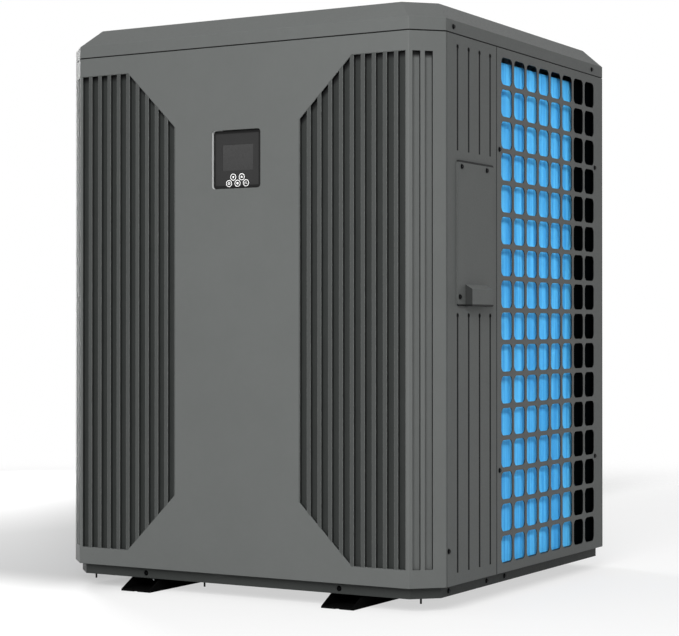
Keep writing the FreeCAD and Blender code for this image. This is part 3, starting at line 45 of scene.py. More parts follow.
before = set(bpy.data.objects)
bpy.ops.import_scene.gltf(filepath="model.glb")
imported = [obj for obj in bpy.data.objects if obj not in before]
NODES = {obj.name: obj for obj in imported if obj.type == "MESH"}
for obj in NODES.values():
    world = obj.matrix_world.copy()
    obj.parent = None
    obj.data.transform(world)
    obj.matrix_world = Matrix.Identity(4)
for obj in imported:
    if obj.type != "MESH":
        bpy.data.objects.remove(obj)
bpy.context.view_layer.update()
COIL_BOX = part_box("evaporator")
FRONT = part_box("front_panel")[0].y
HALF_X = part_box("service_panel")[1].x
SIDE_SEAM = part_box("service_panel")[1].y
MM = 0.001

# ---- places on the casing that the painted shade and highlights follow ----
CORNER = 44.2 * MM                      # how far each corner's cut runs along a side
GROOVE_COUNT = 4                        # thin upright grooves on the service side
GROOVE_FROM_FRONT = 84.5 * MM
GROOVE_PITCH = 40.3 * MM
GROOVE_MARGIN = 19 * MM                 # from the panel's ends to the grooves
GROOVE_COVER_GAP = 15 * MM              # from the wiring cover to the grooves
GROOVE_LINE = 5.4 * MM                  # width of the painted shadow line
GROOVE_END = 4.4 * MM                   # radius of the painted shade spot at its upper end
GROOVE_CLEAR = 10 * MM                  # past the first and last groove
RETURN_FROM, RETURN_TO = 0.02 * MM, 0.12 * MM       # this deep, a wall or return gets painted shade
# widths of the painted shadow lines along the side seam, the lid's rim and the cover's edges
SEAM_LINE = 2.6 * MM
LID_RIM_LINE = 0.9 * MM
COVER_EDGE_LINE = 3.2 * MM
HOOD_FROM = HALF_X + 2 * MM             # the cable hood stands further out than this
FLUTES_INNER, FLUTES_OUTER = 123 * MM, 321 * MM     # across, from the middle plane
SLANT_INNER, SLANT_OUTER = 122 * MM, 222 * MM       # where the field's inner ends slant
SLANT_RISE = 100 * MM
FLUTES_FOOT, FLUTES_TOP = 69 * MM, 892 * MM
TOP_SHADE_FROM, TOP_SHADE_TO = 880 * MM, 886 * MM
FLUTE_FROM, FLUTE_TO = 0.6 * MM, 1.6 * MM           # this deep, the front gets the painted shade of the flutes
CORNER_FLOOR_FROM, CORNER_FLOOR_TO = 5.9 * MM, 6.4 * MM
CUT_OUT_LEFT = -60 * MM
# painted highlights: on the edges of the ridges between the flutes and on the left wall of the controller's
# cut-out
CREST_HIGHLIGHT_TONE, WALL_HIGHLIGHT_TONE = "#b4b6b5", "#c8cac9"

# ---- how finely the coil is drawn ----
FIN_WAVES = 6
TUBE_SIDES = 8
TUBE_STEPS = 40

# ---- studio ----
SHADE_TONE = "#adadad"
CAMERA_LENS = 99.27
CAMERA_PLACE = (1.7145, -2.9805, 0.4513)
CAMERA_AHEAD = (-0.50187, 0.86493, 0.00555)
LAMP_TARGET = Vector((0, 0, 0.48))


# ---- colours, nodes and materials ----
def linear(hex_colour):
    """Linear colour with alpha from an sRGB hex value."""
    channels = [int(hex_colour[i:i + 2], 16) / 255 for i in (1, 3, 5)]
    curve = [c / 12.92 if c <= 0.04045 else ((c + 0.055) / 1.055) ** 2.4 for c in channels]
    return (*curve, 1.0)


def per_mm(size):
    """Texture scale that repeats a pattern about every size millimetres."""
    return 1 / (size * MM)


def add_node(tree, kind, sockets=None, **settings):
    """Adds a node, sets its properties, and fills or links its input sockets."""
    made = tree.nodes.new(kind)
    for name, value in settings.items():
        setattr(made, name, value)
    for key, value in (sockets or {}).items():
        if isinstance(value, bpy.types.NodeSocket):
            tree.links.new(value, made.inputs[key])
        else:
            made.inputs[key].default_value = value
    return made


def new_material(name, **surface):
    """Material, its node tree, its shader and the socket of its object coordinates."""
    material = bpy.data.materials.new(name)
    material.use_nodes = True
    tree = material.node_tree
    shader = tree.nodes["Principled BSDF"]
    for socket, value in surface.items():
        shader.inputs[socket.replace("_", " ").title()].default_value = value
    where = add_node(tree, "ShaderNodeTexCoord").outputs["Object"]
    return material, tree, shader, where


def within(tree, value, low, high):
    """Socket that is 1 where a value lies between two limits, and 0 elsewhere."""
    above = add_node(tree, "ShaderNodeMath", {0: value, 1: low}, operation="GREATER_THAN").outputs[0]
    below = add_node(tree, "ShaderNodeMath", {0: value, 1: high}, operation="LESS_THAN").outputs[0]
    return add_node(tree, "ShaderNodeMath", {0: above, 1: below}, operation="MULTIPLY").outputs[0]


def paint(tree, shader, share, colour):
    """Lays a colour over the shader's base colour by a share from 0 to 1."""
    under = shader.inputs["Base Color"].links[0].from_socket
    mixed = add_node(tree, "ShaderNodeMix", {0: share, 6: under, 7: colour}, data_type="RGBA")
    tree.links.new(mixed.outputs[2], shader.inputs["Base Color"])


def depth_inside(tree, where):
    """Socket with how far a point lies inside the casing's eight-sided outline, in metres."""
    place = add_node(tree, "ShaderNodeSeparateXYZ", {0: where}).outputs
    across = add_node(tree, "ShaderNodeMath", {0: place["X"]}, operation="ABSOLUTE").outputs[0]
    along = add_node(tree, "ShaderNodeMath", {0: place["Y"]}, operation="ABSOLUTE").outputs[0]
    from_side = add_node(tree, "ShaderNodeMath", {0: HALF_X, 1: across}, operation="SUBTRACT").outputs[0]
    from_end = add_node(tree, "ShaderNodeMath", {0: -FRONT, 1: along}, operation="SUBTRACT").outputs[0]
    flat = add_node(tree, "ShaderNodeMath", {0: from_side, 1: from_end}, operation="MINIMUM").outputs[0]
    both = add_node(tree, "ShaderNodeMath", {0: from_side, 1: from_end}, operation="ADD").outputs[0]
    slant = add_node(tree, "ShaderNodeMath", {0: both, 1: CORNER}, operation="SUBTRACT").outputs[0]
    square = add_node(tree, "ShaderNodeMath", {0: slant, 1: math.sqrt(0.5)},
                      operation="MULTIPLY").outputs[0]
    return add_node(tree, "ShaderNodeMath", {0: flat, 1: square}, operation="MINIMUM").outputs[0]


def powder_coat(name, colour, shade, edge, roughness, peel_mm=3.0, edge_mm=0.9, shine=0.15):
    """Polyester powder coat, sprayed on sheet steel and baked. It gives a satin skin that is faintly
    dimpled like orange peel, a tone that drifts and speckles, and a painted highlight on the rounded folds.
    The last value returned is a socket that rises over a fold, where that highlight is painted."""
    material, tree, shader, where = new_material(name)
    shader.inputs["Specular IOR Level"].default_value = shine
    drift = add_node(tree, "ShaderNodeTexNoise", {"Vector": where, "Scale": per_mm(140), "Detail": 6.0,
                                                  "Roughness": 0.8})
    tone = add_node(tree, "ShaderNodeMix", {0: drift.outputs[0], 6: shade, 7: colour}, data_type="RGBA")
    # the folds get a paler colour, a painted highlight
    fold = add_node(tree, "ShaderNodeBevel", {"Radius": edge_mm * MM}, samples=4)
    flat = add_node(tree, "ShaderNodeNewGeometry").outputs["Normal"]
    turn = add_node(tree, "ShaderNodeVectorMath", {0: fold.outputs[0], 1: flat}, operation="DOT_PRODUCT")
    fold_highlight = add_node(tree, "ShaderNodeMapRange", {0: turn.outputs["Value"], 1: 0.75, 2: 0.99, 3: 0.55,
                                                 4: 0.0})
    with_fold_highlight = add_node(tree, "ShaderNodeMix", {0: fold_highlight.outputs[0], 6: tone.outputs[2], 7: edge},
                    data_type="RGBA")
    tree.links.new(with_fold_highlight.outputs[2], shader.inputs["Base Color"])
    # real orange peel is about 1 mm across; it is drawn coarser so that it shows
    peel = add_node(tree, "ShaderNodeTexNoise", {"Vector": where, "Scale": per_mm(peel_mm), "Detail": 2.0})
    bump = add_node(tree, "ShaderNodeBump", {"Strength": 0.25, "Distance": 0.06 * MM,
                                             "Height": peel.outputs[0], "Normal": fold.outputs[0]})
    tree.links.new(bump.outputs[0], shader.inputs["Normal"])
    gloss = add_node(tree, "ShaderNodeMapRange", {0: peel.outputs[0], 1: 0.3, 2: 0.7,
                                                  3: roughness - 0.05, 4: roughness + 0.05})
    tree.links.new(gloss.outputs[0], shader.inputs["Roughness"])
    return material, tree, shader, where, fold_highlight.outputs[0]


def moulded_plastic(name, colour, shade, roughness, grain_mm=1.6, depth_mm=0.05):
    """Injection moulded plastic from a spark-eroded mould. It gives a fine even grain that
    breaks up the highlight, and faint flow marks."""
    material, tree, shader, where = new_material(name)
    flow = add_node(tree, "ShaderNodeTexNoise", {"Vector": where, "Scale": per_mm(55), "Detail": 3.0,
                                                 "Distortion": 0.8})
    tone = add_node(tree, "ShaderNodeMix", {0: flow.outputs[0], 6: shade, 7: colour}, data_type="RGBA")
    tree.links.new(tone.outputs[2], shader.inputs["Base Color"])
    grain = add_node(tree, "ShaderNodeTexNoise", {"Vector": where, "Scale": per_mm(grain_mm),
                                                  "Detail": 1.0})
    soft = add_node(tree, "ShaderNodeBevel", {"Radius": 0.5 * MM}, samples=4)
    bump = add_node(tree, "ShaderNodeBump", {"Strength": 0.3, "Distance": depth_mm * MM,
                                             "Height": grain.outputs[0], "Normal": soft.outputs[0]})
    tree.links.new(bump.outputs[0], shader.inputs["Normal"])
    gloss = add_node(tree, "ShaderNodeMapRange", {0: grain.outputs[0], 1: 0.3, 2: 0.7,
                                                  3: roughness - 0.06, 4: roughness + 0.06})
    tree.links.new(gloss.outputs[0], shader.inputs["Roughness"])
    return material


def bare_metal(name, colour, shade, roughness, blotch_mm=14.0, scratch_mm=1.2):
    """Drawn, turned or plated metal left bare. It gives tight streaks from tooling and a
    patchy tarnish that dulls the shine here and there."""
    material, tree, shader, where = new_material(name, metallic=1.0)
    tarnish = add_node(tree, "ShaderNodeTexNoise", {"Vector": where, "Scale": per_mm(blotch_mm),
                                                    "Detail": 5.0})
    tone = add_node(tree, "ShaderNodeMix", {0: tarnish.outputs[0], 6: shade, 7: colour}, data_type="RGBA")
    tree.links.new(tone.outputs[2], shader.inputs["Base Color"])
    gloss = add_node(tree, "ShaderNodeMapRange", {0: tarnish.outputs[0], 1: 0.3, 2: 0.7,
                                                  3: roughness + 0.1, 4: roughness - 0.08})
    tree.links.new(gloss.outputs[0], shader.inputs["Roughness"])
    stretch = add_node(tree, "ShaderNodeMapping", {"Vector": where, "Scale": (1.0, 1.0, 0.08)})
    streaks = add_node(tree, "ShaderNodeTexNoise", {"Vector": stretch.outputs[0],
                                                    "Scale": per_mm(scratch_mm)})
    bump = add_node(tree, "ShaderNodeBump", {"Strength": 0.15, "Distance": 0.03 * MM,
                                             "Height": streaks.outputs[0]})
    tree.links.new(bump.outputs[0], shader.inputs["Normal"])
    return material


def galvanised_steel(name, colour, shade, spangle_mm=9.0):
    """Hot-dip galvanised sheet. Its zinc crystals give a spangle of pale and darker facets."""
    material, tree, shader, where = new_material(name, metallic=0.9)
    crystals = add_node(tree, "ShaderNodeTexVoronoi", {"Vector": where, "Scale": per_mm(spangle_mm)})
    facet = add_node(tree, "ShaderNodeSeparateColor", {0: crystals.outputs["Color"]})
    tone = add_node(tree, "ShaderNodeMix", {0: facet.outputs[0], 6: shade, 7: colour}, data_type="RGBA")
    tree.links.new(tone.outputs[2], shader.inputs["Base Color"])
    gloss = add_node(tree, "ShaderNodeMapRange", {0: facet.outputs[1], 1: 0.0, 2: 1.0, 3: 0.32, 4: 0.52})
    tree.links.new(gloss.outputs[0], shader.inputs["Roughness"])
    bump = add_node(tree, "ShaderNodeBump", {"Strength": 0.1, "Distance": 0.05 * MM,
                                             "Height": facet.outputs[2]})
    tree.links.new(bump.outputs[0], shader.inputs["Normal"])
    return material


def groove_shade_lines(tree, where):
    """Socket that is 1 where painted shade lies on the pressed grooves of the service side and on a round
    spot at their upper ends. The lines are a little wider than the grooves, so that they show."""
    place = add_node(tree, "ShaderNodeSeparateXYZ", {0: where}).outputs
    from_first = add_node(tree, "ShaderNodeMath", {0: place["Y"], 1: FRONT + GROOVE_FROM_FRONT},
                          operation="SUBTRACT").outputs[0]
    beside = add_node(tree, "ShaderNodeMath", {0: from_first, 1: GROOVE_PITCH / 2, 2: -GROOVE_PITCH / 2},
                      operation="WRAP").outputs[0]
    line = within(tree, beside, -GROOVE_LINE / 2, GROOVE_LINE / 2)
    among = within(tree, from_first, -GROOVE_CLEAR, (GROOVE_COUNT - 1) * GROOVE_PITCH + GROOVE_CLEAR)
    right = add_node(tree, "ShaderNodeMath", {0: place["X"], 1: 0.0}, operation="GREATER_THAN").outputs[0]
    total = 0.0
    panel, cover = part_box("service_panel"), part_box("wiring_cover")
    for low, high in ((cover[1].z + GROOVE_COVER_GAP, panel[1].z - GROOVE_MARGIN),
                      (panel[0].z + GROOVE_MARGIN, cover[0].z - GROOVE_COVER_GAP)):
        stroke = add_node(tree, "ShaderNodeMath", {0: within(tree, place["Z"], low, high), 1: line},
                          operation="MULTIPLY").outputs[0]
        to_end = add_node(tree, "ShaderNodeMath", {0: place["Z"], 1: high}, operation="SUBTRACT").outputs[0]
        flat = add_node(tree, "ShaderNodeCombineXYZ", {0: beside, 1: to_end}).outputs[0]
        away = add_node(tree, "ShaderNodeVectorMath", {0: flat}, operation="LENGTH").outputs["Value"]
        spot = add_node(tree, "ShaderNodeMath", {0: away, 1: GROOVE_END}, operation="LESS_THAN").outputs[0]
        for mark in (stroke, spot):
            total = add_node(tree, "ShaderNodeMath", {0: total, 1: mark}, operation="MAXIMUM").outputs[0]
    for limit in (among, right):
        total = add_node(tree, "ShaderNodeMath", {0: total, 1: limit}, operation="MULTIPLY").outputs[0]
    return total


def lapped_powder_coat(name, colour, shade, edge, recess_shade, roughness):
    """The casing's powder coat on lapped panels. Grooves, hole walls and the returns behind the seams carry
    painted shade, laid by their place. It gives crisp dark lines."""
    material, tree, shader, where, _ = powder_coat(name, colour, shade, edge, roughness)
    hidden = add_node(tree, "ShaderNodeMapRange", {0: depth_inside(tree, where), 1: RETURN_FROM,
                                                   2: RETURN_TO})
    # a painted shadow line lies along the open lap between the front sheet and the grille; the lap is a
    # hair wide, and the line is drawn wider
    along = add_node(tree, "ShaderNodeSeparateXYZ", {0: where}).outputs["Y"]
    share = hidden.outputs[0]
    for line in (groove_shade_lines(tree, where),
                 within(tree, along, SIDE_SEAM - SEAM_LINE / 2, SIDE_SEAM + SEAM_LINE / 2)):
        share = add_node(tree, "ShaderNodeMath", {0: share, 1: line}, operation="MAXIMUM").outputs[0]
    paint(tree, shader, share, recess_shade)
    return material


def lid_powder_coat(name, colour, shade, edge, recess_shade, roughness):
    """The casing's powder coat on the lid. A painted shadow line lies on its turned-under lower rim, for
    the shade above the panels."""
    material, tree, shader, where, _ = powder_coat(name, colour, shade, edge, roughness)
    height = add_node(tree, "ShaderNodeSeparateXYZ", {0: where}).outputs["Z"]
    rim = add_node(tree, "ShaderNodeMath", {0: height, 1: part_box("top_lid")[0].z + LID_RIM_LINE},
                   operation="LESS_THAN").outputs[0]
    paint(tree, shader, rim, recess_shade)
    return material


def cover_powder_coat(name, colour, shade, edge, recess_shade, roughness):
    """The casing's powder coat on the wiring cover. Painted shadow lines lie on its upper and lower edges,
    and painted deep shade on the hood's forward cheek, which gives the hood its depth."""
    material, tree, shader, where, _ = powder_coat(name, colour, shade, edge, roughness, edge_mm=0.4)
    low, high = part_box("wiring_cover")
    place = add_node(tree, "ShaderNodeSeparateXYZ", {0: where}).outputs
    inner = within(tree, place["Z"], low.z + COVER_EDGE_LINE, high.z - COVER_EDGE_LINE)
    lines = add_node(tree, "ShaderNodeMath", {0: 1.0, 1: inner}, operation="SUBTRACT").outputs[0]
    facing = add_node(tree, "ShaderNodeNewGeometry").outputs["Normal"]
    forward = add_node(tree, "ShaderNodeVectorMath", {0: facing, 1: (0.0, -1.0, 0.0)},
                       operation="DOT_PRODUCT")
    cheek = add_node(tree, "ShaderNodeMath", {0: forward.outputs["Value"], 1: 0.8},
                     operation="GREATER_THAN")
    proud = add_node(tree, "ShaderNodeMath", {0: place["X"], 1: HOOD_FROM}, operation="GREATER_THAN")
    shaded = add_node(tree, "ShaderNodeMath", {0: cheek.outputs[0], 1: proud.outputs[0]},
                      operation="MULTIPLY")
    partly = add_node(tree, "ShaderNodeMath", {0: shaded.outputs[0], 1: 0.8}, operation="MULTIPLY")
    share = add_node(tree, "ShaderNodeMath", {0: lines, 1: partly.outputs[0]}, operation="MAXIMUM")
    paint(tree, shader, share.outputs[0], recess_shade)
    return material


def fluted_powder_coat(name, colour, shade, edge, ridge_shade, recess_shade, gap, roughness):
    """The casing's powder coat on the pressed front. The flutes and the ridges between them carry painted
    shade, laid by place and depth, and the edges of the ridges a painted highlight, which gives the strong
    upright stripes. The corner flutes have painted shade on their walls and pale floors."""
    material, tree, shader, where, fold_highlight = powder_coat(name, colour, shade, edge, roughness)
    depth = depth_inside(tree, where)
    place = add_node(tree, "ShaderNodeSeparateXYZ", {0: where}).outputs
    across = add_node(tree, "ShaderNodeMath", {0: place["X"]}, operation="ABSOLUTE").outputs[0]
    # the field of flutes ends in a slant on its inner side, below and above
    inner = add_node(tree, "ShaderNodeMapRange", {0: across, 1: SLANT_INNER, 2: SLANT_OUTER, 3: SLANT_RISE,
                                                  4: 0.0}).outputs[0]
    low = add_node(tree, "ShaderNodeMath", {0: place["Z"], 1: inner}, operation="SUBTRACT").outputs[0]
    high = add_node(tree, "ShaderNodeMath", {0: place["Z"], 1: inner}, operation="ADD").outputs[0]
    among = within(tree, across, FLUTES_INNER, FLUTES_OUTER)
    for test in (add_node(tree, "ShaderNodeMath", {0: low, 1: FLUTES_FOOT}, operation="GREATER_THAN"),
                 add_node(tree, "ShaderNodeMath", {0: high, 1: FLUTES_TOP}, operation="LESS_THAN")):
        among = add_node(tree, "ShaderNodeMath", {0: among, 1: test.outputs[0]},
                         operation="MULTIPLY").outputs[0]
    paint(tree, shader, among, ridge_shade)
    crest_highlight = add_node(tree, "ShaderNodeMath", {0: among, 1: fold_highlight}, operation="MULTIPLY").outputs[0]
    paint(tree, shader, crest_highlight, linear(CREST_HIGHLIGHT_TONE))
    sunk = add_node(tree, "ShaderNodeMapRange", {0: depth, 1: FLUTE_FROM, 2: FLUTE_TO}).outputs[0]
    at_corner = add_node(tree, "ShaderNodeMath", {0: across, 1: FLUTES_OUTER},
                         operation="GREATER_THAN").outputs[0]
    floor = add_node(tree, "ShaderNodeMapRange", {0: depth, 1: CORNER_FLOOR_FROM,
                                                  2: CORNER_FLOOR_TO}).outputs[0]
    bare = add_node(tree, "ShaderNodeMath", {0: at_corner, 1: floor}, operation="MULTIPLY").outputs[0]
    painted_shade = add_node(tree, "ShaderNodeMath", {0: sunk, 1: bare}, operation="SUBTRACT").outputs[0]
    mist = add_node(tree, "ShaderNodeTexNoise", {"Vector": where, "Scale": per_mm(30), "Detail": 3.0})
    cover = add_node(tree, "ShaderNodeMapRange", {0: mist.outputs[0], 1: 0.25, 2: 0.75, 3: 0.9, 4: 1.0})
    share = add_node(tree, "ShaderNodeMath", {0: painted_shade, 1: cover.outputs[0]}, operation="MULTIPLY")
    dark = add_node(tree, "ShaderNodeMix", {0: at_corner, 6: recess_shade, 7: gap}, data_type="RGBA")
    paint(tree, shader, share.outputs[0], dark.outputs[2])
    # the upper ends of the flutes carry painted shade, as dark as the seams, for the shade under their rim
    near_top = add_node(tree, "ShaderNodeMapRange",
                        {0: high, 1: TOP_SHADE_FROM, 2: TOP_SHADE_TO}).outputs[0]
    shaded = add_node(tree, "ShaderNodeMath", {0: near_top, 1: sunk}, operation="MULTIPLY").outputs[0]
    paint(tree, shader, shaded, gap)
    # the left wall of the controller's cut-out carries a pale painted highlight
    lip = add_node(tree, "ShaderNodeMapRange", {0: place["X"], 1: CUT_OUT_LEFT,
                                                2: CUT_OUT_LEFT + MM}).outputs[0]
    left = add_node(tree, "ShaderNodeMath", {0: place["X"], 1: CUT_OUT_LEFT / 2},
                    operation="LESS_THAN").outputs[0]
    wall = add_node(tree, "ShaderNodeMath", {0: lip, 1: left}, operation="MULTIPLY").outputs[0]
    cut = add_node(tree, "ShaderNodeMath", {0: wall, 1: sunk}, operation="MULTIPLY").outputs[0]
    paint(tree, shader, cut, linear(WALL_HIGHLIGHT_TONE))
    return material


def bordered_plastic(name, colour, shade, border, roughness, border_mm=5.0):
    """Spark-eroded black moulding whose rim carries painted shade, laid by its place. It gives the
    controller a soft dark frame."""
    material = moulded_plastic(name, colour, shade, roughness, 1.2)
    tree = material.node_tree
    shader = tree.nodes["Principled BSDF"]
    shader.inputs["Specular IOR Level"].default_value = 0.2
    low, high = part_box("display_housing")
    # the painted shade of the rim is wider at the right, where the cut-out's edge hides part of it
    middle, half = (low + high) / 2 - Vector((1.6 * MM, 0, 0)), (high - low) / 2
    where = add_node(tree, "ShaderNodeTexCoord").outputs["Object"]
    place = add_node(tree, "ShaderNodeSeparateXYZ", {0: where}).outputs
    beyond = []
    for axis, reach in (("X", half.x), ("Z", half.z)):
        away = add_node(tree, "ShaderNodeMath", {0: place[axis], 1: middle["XYZ".index(axis)]},
                        operation="SUBTRACT").outputs[0]
        size = add_node(tree, "ShaderNodeMath", {0: away}, operation="ABSOLUTE").outputs[0]
        beyond.append(add_node(tree, "ShaderNodeMapRange", {0: size, 1: reach - (border_mm + 0.6) * MM,
                                                            2: reach - border_mm * MM}).outputs[0])
    rim = add_node(tree, "ShaderNodeMath", {0: beyond[0], 1: beyond[1]}, operation="MAXIMUM").outputs[0]
    paint(tree, shader, rim, border)
    return material


def coated_fins(name, colour, shade):
    """Hydrophilic blue epoxy rolled on thin aluminium fins. It gives a clean sky blue with a
    soft sheen and small differences in tone from fin to fin."""
    material, tree, shader, where = new_material(name, roughness=0.5)
    bands = add_node(tree, "ShaderNodeMapping", {"Vector": where, "Scale": (1.0, 1.0, 0.03)})
    stock = add_node(tree, "ShaderNodeTexNoise", {"Vector": bands.outputs[0], "Scale": per_mm(7),
                                                  "Detail": 3.0})
    streak = add_node(tree, "ShaderNodeMapRange", {0: stock.outputs[0], 1: 0.36, 2: 0.62})
    tone = add_node(tree, "ShaderNodeMix", {0: streak.outputs[0], 6: shade, 7: colour}, data_type="RGBA")
    tree.links.new(tone.outputs[2], shader.inputs["Base Color"])
    # this texture repeats about every 0.31 of the size it is given, so here every 160 mm
    ripple = add_node(tree, "ShaderNodeTexWave", {"Vector": where, "Scale": per_mm(508),
                                                  "Distortion": 0.6}, bands_direction="Z")
    bump = add_node(tree, "ShaderNodeBump", {"Strength": 0.3, "Distance": 0.4 * MM,
                                             "Height": ripple.outputs[1]})
    tree.links.new(bump.outputs[0], shader.inputs["Normal"])
    return material


def display_lens(name, colour, shade):
    """Polycarbonate lens with a hard coat over a blank liquid crystal screen. It gives a flat
    dark grey pane, a little paler towards its top, with a smoother gloss than the housing."""
    material, tree, shader, where = new_material(name, coat_weight=0.1, coat_roughness=0.2)
    shader.inputs["Specular IOR Level"].default_value = 0.25
    low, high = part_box("display_window")
    place = add_node(tree, "ShaderNodeSeparateXYZ", {0: where})
    height = add_node(tree, "ShaderNodeMapRange", {0: place.outputs["Z"], 1: low.z, 2: high.z, 3: 0.0,
                                                   4: 1.0})
    tone = add_node(tree, "ShaderNodeMix", {0: height.outputs[0], 6: shade, 7: colour}, data_type="RGBA")
    tree.links.new(tone.outputs[2], shader.inputs["Base Color"])
    smear = add_node(tree, "ShaderNodeTexNoise", {"Vector": where, "Scale": per_mm(18), "Detail": 4.0})
    gloss = add_node(tree, "ShaderNodeMapRange", {0: smear.outputs[0], 1: 0.3, 2: 0.7, 3: 0.2, 4: 0.34})
    tree.links.new(gloss.outputs[0], shader.inputs["Roughness"])
    return material


def circuit_board(name, mask_colour, track_colour):
    """Glass-fibre board under green solder mask. Its copper tracks show as a paler maze."""
    material, tree, shader, where = new_material(name, roughness=0.35)
    maze = add_node(tree, "ShaderNodeTexBrick", {"Vector": where, "Scale": per_mm(6), "Color1": mask_colour,
                                                 "Color2": mask_colour, "Mortar": track_colour,
                                                 "Mortar Size": 0.04})
    tree.links.new(maze.outputs[0], shader.inputs["Base Color"])
    return material


def pad_print(name, colour, shade):
    """White ink pad-printed on the keys. It gives an opaque, slightly chalky line."""
    material, tree, shader, where = new_material(name, roughness=0.6)
    ink = add_node(tree, "ShaderNodeTexNoise", {"Vector": where, "Scale": per_mm(1.5), "Detail": 2.0})
    tone = add_node(tree, "ShaderNodeMix", {0: ink.outputs[0], 6: shade, 7: colour}, data_type="RGBA")
    tree.links.new(tone.outputs[2], shader.inputs["Base Color"])
    return material


def dress(material, *names):
    """Gives CAD nodes their finish."""
    for name in names:
        piece = NODES[name]
        if not piece.material_slots:
            piece.data.materials.append(None)
        for place in piece.material_slots:
            place.material = material


def mesh_piece(name, shape, material, body):
    """New object from a bmesh, riding on a CAD body."""
    mesh = bpy.data.meshes.new(name)
    bmesh.ops.recalc_face_normals(shape, faces=shape.faces)
    shape.to_mesh(mesh)
    shape.free()
    mesh.materials.append(material)
    piece = bpy.data.objects.new(name, mesh)
    bpy.context.scene.collection.objects.link(piece)
    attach(piece, body)
    return piece


# ---- what a user would change ----
def colour_property(label, about, value):
    return FloatVectorProperty(name=label, description=about, default=linear(value), size=4,
                               subtype="COLOR", min=0.0, max=1.0)


def length_property(label, about, value_mm):
    return FloatProperty(name=label, description=about, default=value_mm * MM, subtype="DISTANCE",
                         unit="LENGTH", min=0.0, precision=5)


class CabinetFinish(bpy.types.PropertyGroup):
    """Colours of the sheet metal."""
    casing: colour_property("Casing", "Powder coat of the panels and lid", "#585a59")
    casing_shade: colour_property("Casing shade", "Darker drift of the casing's coat", "#505251")
    # the fold colour is a painted highlight
    casing_fold_highlight: colour_property("Casing edge", "Coat where it thins over a fold", "#6e706f")
    # painted shade in the front flutes
    flute_shade: colour_property("Flute floor", "Darker spray in the front flutes", "#262827")
    # painted shade on the ridges between the flutes
    ridge_shade: colour_property("Flute ridge", "Coat on the ridges between the flutes", "#3c3e3d")
    # painted shade in grooves, hole rims, seams and other dark lines
    gap: colour_property("Gap", "Coat in grooves, hole rims and seams", "#0c0d0d")
    base: colour_property("Base pan", "Powder coat of the pan", "#2d2f2e")
    black: colour_property("Black coat", "Coat of the rails, pins and fan guard", "#060606")
    roughness: FloatProperty(name="Casing roughness", description="Roughness of the satin coat",
                             default=0.55, min=0.0, max=1.0, subtype="FACTOR")


class CoilFinish(bpy.types.PropertyGroup):
    """Sizes and colours of the finned coil."""
    fin_colour: colour_property("Fin blue", "Epoxy coat of the fins", "#6ad2ff")
    fin_shade: colour_property("Fin shade", "Darker fins", "#45aeea")
    fin_pitch: length_property("Fin pitch", "From one fin to the next, drawn coarser than real", 3.0)
    fin_thickness: length_property("Fin thickness", "Thickness of one fin, drawn thicker than real", 0.5)
    fin_wave: length_property("Fin wave", "Height of the waves pressed across each fin", 3.0)
    depth: length_property("Coil depth", "From the coil's inner face to its outer face", 44.0)
    bend: length_property("Coil bend", "Outer radius of the coil's corners", 110.0)
    tube: length_property("Tube diameter", "Copper tubes through the fins", 9.5)
    tube_pitch: length_property("Tube pitch", "From one tube up to the next", 25.4)


class KeyFinish(bpy.types.PropertyGroup):
    """Sizes and colours of the controller's keys."""
    ink: colour_property("Ink", "Pad print on the keys", "#ffffff")
    housing: colour_property("Housing", "Plastic of the controller", "#242424")
    lens: colour_property("Lens", "Blank display", "#303030")
    ring: length_property("Ring radius", "Outer radius of the printed ring", 5.7)
    line: length_property("Line width", "Width of the printed lines", 0.95)
    ink_height: length_property("Ink height", "How far the ink stands off the key", 0.06)


class StageLook(bpy.types.PropertyGroup):
    """Floor and lamps."""
    floor: colour_property("Floor", "Pale studio floor", "#f6f6f6")
    key_power: FloatProperty(name="Key lamp", description="Power of the soft lamp at front right",
                             default=189.0, min=0.0, unit="POWER")
    rim_power: FloatProperty(name="Rim lamp", description="Power of the strip lamp behind left",
                             default=66.0, min=0.0, unit="POWER")
    coil_power: FloatProperty(name="Coil lamp", description="Power of the lamp that reaches the fins only",
                              default=90.0, min=0.0, unit="POWER")
    ambient: FloatProperty(name="Ambient", description="Strength of the even studio light",
                           default=0.4, min=0.0, max=2.0)
    lift: FloatProperty(name="Floor lift", description="How far the floor is paled towards the backdrop",
                        default=0.6, min=0.0, max=1.0, subtype="FACTOR")


class HeatPumpSettings(bpy.types.PropertyGroup):
    """All settings of the finish."""
    cabinet: PointerProperty(type=CabinetFinish)
    coil: PointerProperty(type=CoilFinish)
    keys: PointerProperty(type=KeyFinish)
    stage: PointerProperty(type=StageLook)


# ---- the pieces ----
class FinishCasing(bpy.types.Operator):
    """Powder coat on the panels, lid and wiring cover, with painted shade in the front flutes"""
    bl_idname = "heatpump.casing"
    bl_label = "Casing"

    def execute(self, context):
        look = context.scene.heat_pump.cabinet
        tones = (look.casing, look.casing_shade, look.casing_fold_highlight)
        dress(lid_powder_coat("powder_coat_grey_lid", *tones, look.gap, look.roughness), "top_lid")
        dress(cover_powder_coat("powder_coat_grey_cover", *tones, look.gap, look.roughness), "wiring_cover")
        dress(lapped_powder_coat("powder_coat_grey_lapped", *tones, look.gap, look.roughness),
              "service_panel", "water_panel", "grille_left", "grille_right", "grille_rear")
        fluted = fluted_powder_coat("powder_coat_grey_fluted", *tones, look.ridge_shade, look.flute_shade, look.gap,
                                    look.roughness)
        dress(fluted, "front_panel")
        return {"FINISHED"}


